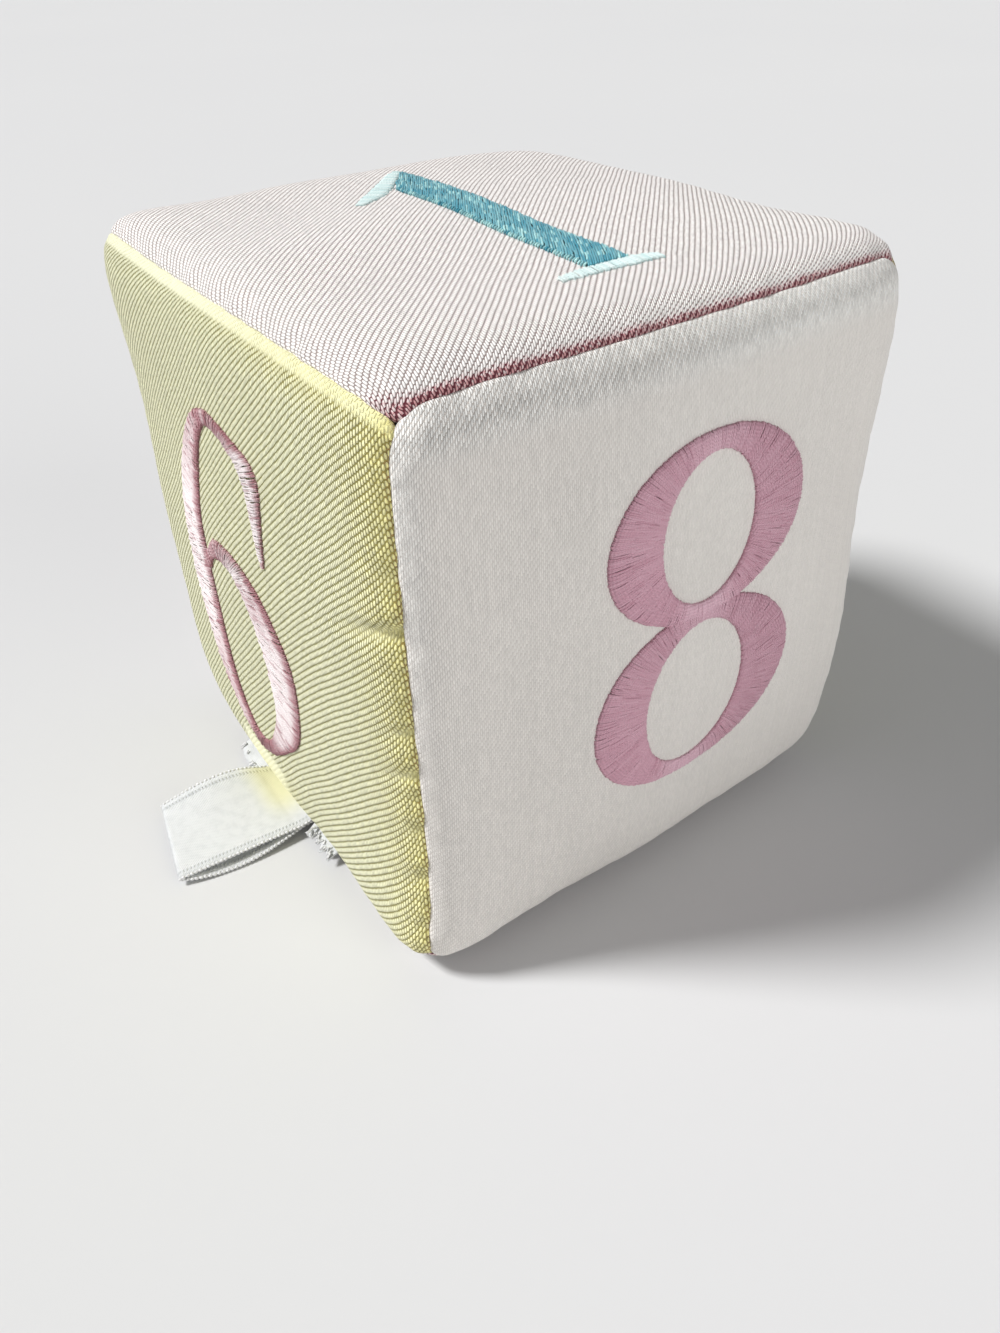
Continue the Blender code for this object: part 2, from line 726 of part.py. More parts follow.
def loop_outlines():
    """Side view of the folded ribbon: pressed flat at its root, open, and folded over."""
    opens = LABEL_REACH - LABEL_PRESSED - RIBBON
    inner_top = []
    inner_base = []
    outer_top = [(0.0, RIBBON)]
    outer_base = [(0.0, -RIBBON)]
    for step in range(LABEL_STEPS + 1):
        share = step / LABEL_STEPS
        reach = LABEL_PRESSED + opens * share
        middle = loop_height(reach / LABEL_REACH)
        half = loop_opening(share) / 2
        outer_top.append((reach, middle + half + RIBBON))
        outer_base.append((reach, middle - half - RIBBON))
        if step == 0 or step == LABEL_STEPS:
            inner_top.append((reach, middle))
        else:
            inner_top.append((reach, middle + half))
            inner_base.append((reach, middle - half))
    nose = math.sqrt(0.5) * RIBBON
    heel = [(-nose, -nose), (-RIBBON, 0.0), (-nose, nose)]
    toe = [(LABEL_REACH - RIBBON + nose, -nose), (LABEL_REACH, 0.0),
           (LABEL_REACH - RIBBON + nose, nose)]
    outer = outer_base + toe + outer_top[::-1] + heel[::-1]
    inner = inner_top + inner_base[::-1]
    return [outer, inner]


def lean_loop(mesh):
    """Lets the fold lean: its near end reaches further, and its far end lies higher."""
    for vert in mesh.vertices:
        out = max(0.0, vert.co.x) / LABEL_REACH
        aside = vert.co.z / LABEL_WIDTH
        vert.co.x -= LABEL_SLANT * aside * out
        vert.co.y += LABEL_TWIST * aside * out
        vert.co.z += LABEL_SKEW * out


def build_loop_label(parts):
    """Folded ribbon loop, turning about the line where it leaves the seam."""
    mesh = flat_mesh("loop_label", loop_outlines(), LABEL_WIDTH)
    lean_loop(mesh)
    placed(mesh, frame_matrix(-X_AXIS, Z_AXIS, Y_AXIS, Vector()))
    label = add_part("loop_label", mesh, "ribbon", parts, roughness=0.4)
    label.location = hinge_point()
    shade(label, 40.0)


def build_care_label_stub(parts):
    """What is left of a cut care label: it stands out at both ends of the loop only."""
    run, outward, across = seam_axes(RIBBON_SEAM)
    mouth, raw = seam_levels(RIBBON_SEAM)
    near = STUB_CENTRE - STUB_WIDTH / 2
    back = STUB_CENTRE + STUB_WIDTH / 2
    notch_near = LABEL_CENTRE - LABEL_WIDTH / 2 - 2 * TOUCH
    drift = LABEL_SKEW * STUB_REACH / LABEL_REACH
    notch_back = LABEL_CENTRE + LABEL_WIDTH / 2 + drift + 2 * TOUCH
    hidden = mouth - ROLL_RADIUS
    outline = [(near, raw), (back, raw)]
    for share, rise in reversed(STUB_BACK_SHARES):
        outline.append((notch_back + (back - notch_back) * share, mouth + STUB_REACH * rise))
    outline += [(notch_back, hidden), (notch_near, hidden)]
    for share, rise in reversed(STUB_NEAR_SHARES):
        outline.append((notch_near + (near - notch_near) * share, mouth + STUB_REACH * rise))
    mesh = flat_mesh("care_label_stub", [outline], RIBBON)
    placed(mesh, frame_matrix(run, outward, across, CENTRE + across * STUB_ACROSS))
    add_part("care_label_stub", mesh, "ribbon", parts, roughness=0.5)


def main():
    clear_scene()
    parts = new_collection(NAME)
    cutters = new_collection("cutters")
    build_panels(parts)
    build_backings(parts)
    build_foam(parts, cutters)
    build_overlocks(parts)
    build_eight(parts)
    build_six(parts)
    build_one(parts)
    build_hidden_numerals(parts)
    build_label_tails(parts)
    build_loop_label(parts)
    build_care_label_stub(parts)
    bpy.context.view_layer.update()


main()
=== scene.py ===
"""Looks of the soft fabric block: fine cloth panels, satin threads, ribbons, light and camera."""

import math

import bpy
import numpy as np
from mathutils import Matrix, Vector


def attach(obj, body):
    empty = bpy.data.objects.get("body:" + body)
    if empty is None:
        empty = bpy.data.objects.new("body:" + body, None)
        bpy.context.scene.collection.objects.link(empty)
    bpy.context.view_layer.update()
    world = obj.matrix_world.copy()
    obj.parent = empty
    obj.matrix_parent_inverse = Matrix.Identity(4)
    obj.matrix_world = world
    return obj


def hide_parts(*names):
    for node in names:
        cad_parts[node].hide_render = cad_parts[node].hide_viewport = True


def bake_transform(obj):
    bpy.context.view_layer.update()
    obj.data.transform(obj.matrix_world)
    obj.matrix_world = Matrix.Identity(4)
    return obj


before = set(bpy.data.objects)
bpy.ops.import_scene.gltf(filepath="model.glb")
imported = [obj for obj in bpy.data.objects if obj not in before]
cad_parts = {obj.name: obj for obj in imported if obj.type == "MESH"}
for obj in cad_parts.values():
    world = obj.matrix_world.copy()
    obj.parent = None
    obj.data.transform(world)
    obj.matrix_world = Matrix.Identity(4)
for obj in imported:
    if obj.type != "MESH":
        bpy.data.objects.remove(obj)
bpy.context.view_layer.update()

# Lengths and places are in millimetres, and turn into metres where Blender takes them
MM = 0.001
TINY = 1e-6

# Shape of the block, as in the part
HALF = np.array([49.0, 50.55, 53.2])
CENTRE = np.array([0.0, 0.0, 53.6])
SQUARENESS = 13.4
EDGE_ZETA = 2 ** (-1 / SQUARENESS)
CROWN = 1.9
FOOT_CROWN = 0.9
CROWN_MARGIN = 0.15
CLOTH = 0.8
ROLL = 0.85
SEAM_GAP = 0.04
ALLOWANCE = 6.4
SWELL = 0.9
SWELL_RAMP = 15.0
SWELL_REACH = 8.0
STUB_CENTRE = 5.85
STUB_WIDTH = 40.7
LABEL_CENTRE = 5.6

X, Y, Z = np.eye(3)
PANELS = {
    "top": (X, Y, Z),
    "bottom": (X, -Y, -Z),
    "front": (X, Z, -Y),
    "back": (-X, Z, Y),
    "left": (-Y, Z, -X),
    "right": (Y, Z, X),
}
SIDES = ("left", "right", "low", "high")
WHITE = ("front", "back")
CORNER_RADII = {
    frozenset(("front", "top", "left")): 5.6,
    frozenset(("front", "top", "right")): 5.0,
    frozenset(("front", "bottom", "left")): 3.6,
    frozenset(("front", "bottom", "right")): 4.6,
}
OTHER_CORNER_RADIUS = 4.4

rng = np.random.default_rng(7)


# Small sums

def srgb(colour):
    """Linear colour from the 0 to 255 values of a screen colour."""
    shares = np.array(colour) / 255
    linear = np.where(shares > 0.04045, ((shares + 0.055) / 1.055) ** 2.4, shares / 12.92)
    return tuple(float(v) for v in linear)


def smooth(value, low, high):
    share = np.clip((value - low) / (high - low), 0, 1)
    return share * share * (3 - 2 * share)


def fading(distance, reach, power):
    """From 1 at no distance down to nothing; the power says how suddenly."""
    return np.exp(-(distance / reach) ** power)


def unit(vectors):
    return vectors / np.maximum(np.linalg.norm(vectors, axis=-1, keepdims=True), 1e-9)


def steps_of(points):
    """Distance between each point of a path and the next."""
    return np.linalg.norm(np.diff(points, axis=-2), axis=-1)


def running(steps):
    """Running total of steps, from nought."""
    return np.concatenate([np.zeros_like(steps[..., :1]), np.cumsum(steps, axis=-1)], -1)


def at_lengths(points, gone, wanted):
    """Points of a path at wanted lengths along it."""
    return np.stack([np.interp(wanted, gone, points[:, k]) for k in range(3)], -1)


# Surface of the cloth

def sizes(panel):
    return [abs(float(direction @ HALF)) for direction in PANELS[panel]]


def inset(distance, across, out):
    """Face distance from the seam line that is this far from the slanted seam plane."""
    return distance * math.hypot(across, out) / (EDGE_ZETA * out)


def limits(panel):
    """How far the panel's face reaches each way before it rolls into the seams."""
    wide, tall, deep = sizes(panel)
    margin = SEAM_GAP / 2 + ROLL
    return wide - inset(margin, wide, deep), tall - inset(margin, tall, deep)


def edges(x, y, wide, tall):
    """For each side: distance to it, place along it and half its length."""
    return dict(zip(SIDES, ((wide + x, y, tall), (wide - x, y, tall),
                            (tall + y, x, wide), (tall - y, x, wide))))


def base(panel, x, y):
    """Crowned face at flat places x, y; places past an edge run on over the neighbour."""
    right, up, out = PANELS[panel]
    wide, tall, deep = sizes(panel)
    a, b = x / wide, y / tall
    zeta = (1 + np.abs(a) ** SQUARENESS + np.abs(b) ** SQUARENESS) ** (-1 / SQUARENESS)
    crown = FOOT_CROWN if panel == "bottom" else CROWN
    for share, half in ((a, wide), (b, tall)):
        rim = 1 - inset(CROWN_MARGIN + ROLL, half, deep) / half
        crown = crown * np.clip(1 - (share / rim) ** 2, 0, 1)
    level = deep * zeta + crown
    if panel == "bottom":
        level = np.minimum(level, CENTRE[2])
    return (CENTRE + (x * zeta)[..., None] * right + (y * zeta)[..., None] * up
            + level[..., None] * out)


# Soft pushes of the whole block: place from its centre, push and reach
PUSHES = (
    ((-49.0, 5.0, -51.0), (-1.1, 0.0, -0.1), 17.0),
    ((-49.0, 50.0, -51.0), (1.3, -0.8, 1.0), 14.0),
    ((-49.0, -30.0, -53.0), (-1.6, 0.0, 0.0), 13.0),
    ((-49.0, -47.0, -53.0), (-2.2, -0.8, -0.3), 14.0),
    ((-49.0, -50.5, 53.0), (0.5, 0.4, -0.5), 10.0),
    ((-49.0, 50.5, 53.0), (-0.4, 0.2, 1.1), 17.0),
    ((-49.0, 50.5, 15.0), (0.9, -0.5, 0.0), 24.0),
    ((49.0, -44.0, 53.0), (0.5, -0.1, 1.0), 17.0),
    ((49.0, 42.0, 53.0), (-0.6, -0.5, -1.4), 20.0),
    ((49.0, -50.5, 26.0), (-0.6, 0.0, 0.0), 14.0),
    ((49.0, -50.5, -20.0), (2.4, -0.2, 0.0), 24.0),
    ((40.0, -50.5, -53.0), (-0.8, 0.6, 2.0), 15.0),
)
WAVE_HEIGHT = 0.11
WAVES = [(rng.normal(size=3), rng.uniform(26, 44), rng.uniform(0, 6.28)) for _ in range(7)]


def broad(points):
    """Large soft unevenness of the block, the same for all panels at a place."""
    place = points - CENTRE
    outward = unit(place)
    moved = np.zeros_like(points)
    for spot, push, reach in PUSHES:
        near = np.exp(-((place - np.array(spot)) ** 2).sum(-1) / reach ** 2)
        moved += near[..., None] * np.array(push)
    for direction, length, start in WAVES:
        turn = place @ unit(direction) * (2 * math.pi / length)
        moved += (WAVE_HEIGHT * np.sin(turn + start))[..., None] * outward
    return moved


# Puckers beside each seam: length, start and depth
PUCKERS = {
    (panel_name, side_name): [
        (rng.uniform(4.5, 12.0), rng.uniform(0, 6.28), rng.uniform(0.03, 0.10)) for _ in range(5)]
    for panel_name in PANELS for side_name in SIDES}
PUCKER_REACH = 5.0
WHITE_PUCKERS = 0.75
TWILL_PUCKERS = 1.15

# Short wrinkles of the left panel beside the near seam: start, end, depth and width
LEFT_WRINKLES = (
    ((52.0, 20.6), (33.0, 14.2), -1.55, 1.2),
    ((52.0, 24.2), (38.0, 19.0), 0.70, 1.7),
    ((52.0, 29.5), (44.0, 27.2), -0.60, 1.1),
    ((52.0, 9.0), (42.0, 6.0), 0.35, 2.2),
    ((52.0, 2.2), (42.0, -0.6), -1.05, 1.1),
    ((52.0, -6.8), (40.0, -9.6), -1.20, 1.1),
    ((52.0, -3.0), (43.0, -5.2), 0.50, 1.7),
    ((52.0, -19.5), (42.0, -20.5), -0.75, 1.4),
    ((52.0, -30.5), (42.0, -30.5), -0.60, 1.4),
    ((52.0, 39.0), (45.0, 37.6), -0.40, 1.3),
)
WRINKLE_RISE = (-1.5, 2.5)
WRINKLE_SPREAD = 0.8

# The cloth falls away towards its seams: depth, where it starts and over what distance
EDGE_FALL = 0.5
EDGE_FALL_START = 1.7
EDGE_FALL_REACH = 7.5


def wrinkle_shapes(x, y):
    """Depth and share of each wrinkle of the left panel at places x, y."""
    for start, end, depth, width in LEFT_WRINKLES:
        run = np.subtract(end, start)
        length = np.linalg.norm(run)
        run = run / length
        along = (x - start[0]) * run[0] + (y - start[1]) * run[1]
        off = (x - start[0]) * -run[1] + (y - start[1]) * run[0]
        share = np.clip(along / length, 0, 1)
        ends = smooth(along, *WRINKLE_RISE) * (1 - share) ** 0.9
        yield depth, ends * fading(off, width * (1 + WRINKLE_SPREAD * share), 2)


def relief(panel, x, y):
    """Fine height of the cloth over the crowned face."""
    wide, tall, _ = sizes(panel)
    height = np.zeros_like(x)
    strength = WHITE_PUCKERS if panel in WHITE else TWILL_PUCKERS
    for side, (distance, along, _) in edges(x, y, wide, tall).items():
        fallen = np.clip(1 - (distance - EDGE_FALL_START) / EDGE_FALL_REACH, 0, 1)
        height -= EDGE_FALL * fallen ** 2
        fade = fading(np.maximum(distance, 0), PUCKER_REACH, 2)
        for length, start, depth in PUCKERS[panel, side]:
            height += strength * depth * fade * np.sin(2 * math.pi * along / length + start)
    if panel == "left":
        for depth, share in wrinkle_shapes(x, y):
            height += depth * share
    return height


def normals(panel, x, y):
    step = 0.05
    across = base(panel, x + step, y) - base(panel, x - step, y)
    upward = base(panel, x, y + step) - base(panel, x, y - step)
    return unit(np.cross(across, upward))


def cloth(panel, x, y, lift=0.0):
    """Places on the finished cloth, raised by lift."""
    x, y = np.asarray(x, float), np.asarray(y, float)
    points = base(panel, x, y)
    raised = relief(panel, x, y) + lift
    points = points + broad(points) + raised[..., None] * normals(panel, x, y)
    points[..., 2] = np.maximum(points[..., 2], 0.0)
    return points


# What the weave shows: coloured bands of weft colour and painted shade, closed grooves, and creases
# with a golden tint and painted highlight

# Bands beside the seams: width past the rim at each end, fade and strength
# On the pink twill the band is its rose weft; on the yellow and white cloths it is painted shade in
# the seam roll
BANDS = {
    ("top", "low"): (0.0, -0.7, 1.5, 1.0),
    ("top", "left"): (-2.3, -2.3, 1.6, 0.7),
    ("top", "right"): (-1.2, -1.2, 1.6, 0.8),
    ("top", "high"): (-1.2, -1.2, 1.6, 0.8),
    ("left", "right"): (-1.6, -1.4, 1.8, 0.75),
    ("left", "left"): (-1.3, -1.3, 2.0, 0.7),
    ("left", "high"): (-3.0, -3.0, 2.0, 0.4),
    ("right", "left"): (-0.8, -0.8, 2.4, 0.8),
    ("bottom", "high"): (-0.8, -0.8, 1.6, 0.9),
}
OTHER_BAND = (-1.6, -1.6, 2.0, 0.6)
RIM = 0.05

# The band's pool at the top panel's near corner: place, reach and strength
POOL = (-49.0, -50.5)
POOL_REACH = 6.5
POOL_STRENGTH = 0.62


def band_at(panel, x, y, beyond):
    """Strength of the coloured band, weft on the pink twill and painted shade elsewhere; beyond is
    the way past the rim into the seam.
    """
    band = np.zeros_like(x)
    for side, (distance, along, half) in edges(x, y, *limits(panel)).items():
        width_a, width_b, fade, strength = BANDS.get((panel, side), OTHER_BAND)
        width = width_a + (width_b - width_a) * (along / half + 1) / 2
        inside = np.where(distance < RIM, -beyond, distance)
        band = np.maximum(band, strength * np.clip(1 - (inside - width) / fade, 0, 1))
    if panel == "top":
        past = np.hypot(x - POOL[0], y - POOL[1]) - POOL_REACH / 2
        pool = np.clip(1 - past / (POOL_REACH / 2 + 1), 0, 1)
        band = np.maximum(band, POOL_STRENGTH * pool)
    return band


def valley_at(x, y):
    """Share of the left panel's wrinkle valleys at places x, y."""
    valleys = [min(1.0, max(0.0, -depth)) * share for depth, share in wrinkle_shapes(x, y)]
    return np.maximum.reduce(valleys)


BULGE_SHIFT = 4.0
BULGE_HALF = 9.5
BULGE_END = (10.5, 14.5)


def plain_at(panel, x, y):
    """Where the twill's grooves close up: on tight folds and over the caught ribbons."""
    _, limit_y = limits(panel)
    if panel in WHITE:
        return 0.30 * smooth(limit_y - y, 2.0, 9.0) + 0.25 * smooth(x, -25.0, 25.0)
    if panel != "left":
        return np.zeros_like(x)
    fold = 0.55 * (1 - smooth(limit_y - y, 0.6, 2.6))
    beside = fading(x + LABEL_CENTRE + BULGE_SHIFT, BULGE_HALF, 4)
    bulge = beside * (1 - smooth(limit_y + y, *BULGE_END))
    return np.maximum.reduce([fold, bulge, 0.5 * valley_at(x, y)])


# Beside the yellow twill's near seam the crease colours are painted highlight
NEAR_PAINTED_HIGHLIGHT = 0.85
NEAR_REACH = 6.5
FOLD_CREASE = 0.55
FOLD_REACH = 4.0
BULGE_CREASE = 0.35
BULGE_REACH = 12.0


def crease_and_painted_highlight_at(panel, x, y):
    """Where the weave stands out: valleys and the top fold tinted golden; beside the near seam and
    under the white cotton's top seam, a painted highlight.
    """
    limit_x, limit_y = limits(panel)
    if panel in WHITE:
        beside = 0.7 * (1 - smooth(limit_x + x, 1.0, 5.5)) * smooth(y, -20.0, limit_y)
        return np.maximum(1 - smooth(limit_y - y, 4.5, 10.0), beside)
    if panel != "left":
        return np.zeros_like(x)
    near = NEAR_PAINTED_HIGHLIGHT * fading(np.clip(limit_x - x, 0, None), NEAR_REACH, 1.3)
    fold = FOLD_CREASE * fading(limit_y - y, FOLD_REACH, 2) * smooth(x, -20.0, limit_x)
    bulge = (BULGE_CREASE * fading(x + LABEL_CENTRE, BULGE_REACH, 4)
             * fading(limit_y + y, BULGE_REACH, 4))
    return np.maximum.reduce([valley_at(x, y), near, fold, bulge])


SEAM_DRAW = 3.0
DRAW_REACH = 3.4


def drawn(panel, places, x, y):
    """Cloth places, with the weave drawn along the near seams as it was sewn."""
    limit_x, limit_y = limits(panel)
    if panel == "left":
        places[:, 1] -= SEAM_DRAW * fading(np.clip(limit_x - x, 0, None), DRAW_REACH, 1)
    if panel == "top":
        places[:, 0] += SEAM_DRAW * fading(np.clip(limit_y + y, 0, None), DRAW_REACH, 1)
    return places


# Panels

# Grid lines: pitch in the middle, closer pitch beside the seams and how far that goes
PITCH = 1.5
CLOSE_PITCH = 0.75
CLOSE_REACH = 12.0
WRINKLED_PITCH = {"left": 0.55}

# The rim rolls over in these turns and goes into the seam to these depths
ROLL_TURNS = (18.0, 36.0, 54.0, 72.0, 90.0)
DEPTHS = (1.2, 3.2, 6.4)

FILL_REACH = 9.0
ARC_PLACES = 801
ARC_BEYOND = 4.0


def axis_lines(limit, even_pitch=None):
    """Grid lines from -limit to limit, closer together near both ends unless even."""
    if even_pitch:
        return np.linspace(-limit, limit, int(round(2 * limit / even_pitch)) + 1)
    near = np.arange(0, CLOSE_REACH, CLOSE_PITCH)
    far = limit - CLOSE_REACH
    middle = np.linspace(-far, far, int(round(2 * far / PITCH)) + 1)
    return np.concatenate([-limit + near, middle, limit - near[::-1]])


def panel_towards(direction):
    """The panel that faces a direction."""
    return next(name for name, axes in PANELS.items() if np.allclose(axes[2], direction))


def corner_radius(*names):
    return CORNER_RADII.get(frozenset(names), OTHER_CORNER_RADIUS)


def arc_deviation(place, radius):
    """How far a corner arc departs from the straight edge at a distance from the corner."""
    place = np.maximum(place, (1 - math.sqrt(0.5)) * radius)
    rest = np.clip(radius - place, 0, radius)
    return radius - np.sqrt(np.maximum(radius ** 2 - rest ** 2, 0))


def rounded_corners(panel, x, y):
    """Rounds a white panel's corners to arcs."""
    right, up, _ = PANELS[panel]
    limit_x, limit_y = limits(panel)
    for sign_x in (-1, 1):
        for sign_y in (-1, 1):
            radius = corner_radius(panel, panel_towards(sign_x * right),
                                   panel_towards(sign_y * up))
            u = np.clip(1 - (limit_x - sign_x * x) / radius, 0, 1)
            v = np.clip(1 - (limit_y - sign_y * y) / radius, 0, 1)
            x = x - sign_x * (u - u * np.sqrt(1 - v * v / 2)) * radius
            y = y - sign_y * (v - v * np.sqrt(1 - u * u / 2)) * radius
    return x, y


def filled_corners(panel, x, y):
    """Lets a panel run on to the white panels' rounded corners."""
    right, up, _ = PANELS[panel]
    limit_x, limit_y = limits(panel)
    swap = abs(float(right @ Y)) > 0.5
    if swap:
        x, y, limit_x, limit_y = y, x, limit_y, limit_x
        right, up = up, right
    for sign_y in (-1, 1):
        white = panel_towards(sign_y * up)
        for sign_x in (-1, 1):
            radius = corner_radius(panel, white, panel_towards(sign_x * right))
            here = sign_x * x > 0
            beside = limit_x - sign_x * x
            behind = limit_y - sign_y * y
            fade_y = np.clip(1 - behind / FILL_REACH, 0, 1) ** 2
            fade_x = np.clip(1 - beside / FILL_REACH, 0, 1) ** 2
            reach = arc_deviation(beside, radius) * fade_y
            over = np.maximum(0, reach - behind) * fade_x
            reach = arc_deviation(beside + over, radius) * fade_y
            x = np.where(here, x - sign_x * over, x)
            y = np.where(here & (sign_y * y > 0), y + sign_y * reach, y)
    return (y, x) if swap else (x, y)


def swell_at(place, past_rim):
    """How far the rim draws in where ribbons lie in the seam."""
    beyond = np.maximum(0, np.abs(-place - STUB_CENTRE) - STUB_WIDTH / 2)
    fade = np.clip(1 - past_rim / SWELL_REACH, 0, 1) ** 2
    return SWELL * smooth(1 - beyond / SWELL_RAMP, 0, 1) * fade


def arc_place(panel, axis, places):
    """Length along the cloth from the middle of the panel, for places along one axis."""
    limit = sizes(panel)[axis] + ARC_BEYOND
    fine = np.linspace(-limit, limit, ARC_PLACES)
    still = np.zeros_like(fine)
    points = base(panel, fine, still) if axis == 0 else base(panel, still, fine)
    lengths = running(steps_of(points))
    return np.interp(places, fine, lengths - lengths[ARC_PLACES // 2])


def make_mesh(name, verts, faces, attributes=()):
    """Mesh object from millimetre places; attributes are (name, values) for each vertex."""
    mesh = bpy.data.meshes.new(name)
    mesh.from_pydata((np.asarray(verts) * MM).tolist(), [], [tuple(f) for f in faces])
    for key, values in attributes:
        values = np.asarray(values, np.float32)
        kind = "FLOAT" if values.ndim == 1 else "FLOAT_VECTOR"
        data = mesh.attributes.new(key, kind, "POINT").data
        data.foreach_set("value" if values.ndim == 1 else "vector", values.ravel())
    mesh.shade_smooth()
    return add_object(name, mesh)


def add_object(name, data):
    piece = bpy.data.objects.new(name, data)
    bpy.context.scene.collection.objects.link(piece)
    return piece


def thicken(piece, thickness, offset=-1.0):
    shell = piece.modifiers.new("thickness", "SOLIDIFY")
    shell.thickness = thickness * MM
    shell.offset = offset


def dress(piece, look, replaced=None):
    """Gives a piece of the block its look, attaches it to the block and hides the node that it
    stands for.
    """
    piece.data.materials.append(LOOKS[look])
    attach(piece, "block")
    if replaced:
        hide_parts(replaced)


def numbered(rows, columns):
    return np.arange(rows * columns).reshape(rows, columns)


def grid_faces(index):
    """Faces between the vertex numbers of a grid."""
    corners = [index[:-1, :-1], index[:-1, 1:], index[1:, 1:], index[1:, :-1]]
    return np.stack(corners, -1).reshape(-1, 4).tolist()


def rim_of(index):
    """Vertex numbers round the rim of a grid, anticlockwise seen from outside."""
    return np.concatenate([index[0], index[1:, -1], index[-1, -2::-1], index[-2:0:-1, 0]])


def build_panel(panel):
    wide, tall, deep = sizes(panel)
    right, up, _ = PANELS[panel]
    limit_x, limit_y = limits(panel)
    lines_x, lines_y = axis_lines(limit_x), axis_lines(limit_y, WRINKLED_PITCH.get(panel))
    x, y = (part.ravel() for part in np.meshgrid(lines_x, lines_y))
    if panel == "left":
        y = y + inset(1.0, tall, deep) * swell_at(x, limit_y + y)
    if panel == "bottom":
        x = x + inset(1.0, wide, deep) * swell_at(y, limit_x + x)
    corners = rounded_corners if panel in WHITE else filled_corners
    x, y = corners(panel, x, y)
    points = cloth(panel, x, y)
    places = np.stack([arc_place(panel, 0, x), arc_place(panel, 1, y), 0 * x], -1)
    places = drawn(panel, places, x, y)
    index = numbered(len(lines_y), len(lines_x))
    rim = rim_of(index)
    rim_points, rim_out = points[rim], normals(panel, x, y)[rim]
    tangent = unit(np.roll(rim_points, -1, 0) - np.roll(rim_points, 1, 0))
    outward = unit(np.cross(tangent, rim_out))
    flat_out = unit(np.stack([outward @ right, outward @ up, np.zeros(len(rim))], -1))
    inward = unit(CENTRE - rim_points)
    verts, all_places, bands = [points], [places], [band_at(panel, x, y, 0.0)]
    faces = grid_faces(index)
    turns = np.radians(ROLL_TURNS + ROLL_TURNS[-1:] * len(DEPTHS))
    depths = (0.0,) * len(ROLL_TURNS) + DEPTHS
    last, total = rim, len(points)
    for turn, deep_in in zip(turns, depths):
        ring = (rim_points + outward * ROLL * math.sin(turn)
                - rim_out * ROLL * (1 - math.cos(turn)) + inward * deep_in)
        ring[:, 2] = np.maximum(ring[:, 2], 0.0)
        arc = ROLL * turn + deep_in
        verts.append(ring)
        all_places.append(places[rim] + flat_out * arc)
        bands.append(band_at(panel, x[rim], y[rim], arc))
        new = np.arange(total, total + len(rim))
        faces += np.stack([last, new, np.roll(new, -1), np.roll(last, -1)], -1).tolist()
        last, total = new, total + len(rim)
    attributes = [("cloth", np.concatenate(all_places)), ("band", np.concatenate(bands))]
    for name, values in (("plain", plain_at(panel, x, y)), ("crease_and_painted_highlight", crease_and_painted_highlight_at(panel, x, y))):
        attributes.append((name, np.concatenate([values, np.tile(values[rim], len(turns))])))
    piece = make_mesh(f"cloth_{panel}", np.concatenate(verts), faces, attributes)
    thicken(piece, CLOTH)
    dress(piece, PANEL_CLOTHS[panel], f"panel_{panel}")


# Materials

class Wire:
    """A node's output, which takes plain sums."""

    def __init__(self, look, socket):
        self.look, self.socket = look, socket

    def __add__(self, other):
        return self.look.math("ADD", self, other)

    def __sub__(self, other):
        return self.look.math("SUBTRACT", self, other)

    def __rsub__(self, other):
        return self.look.math("SUBTRACT", other, self)

    def __mul__(self, other):
        return self.look.math("MULTIPLY", self, other)

    def __truediv__(self, other):
        return self.look.math("DIVIDE", self, other)


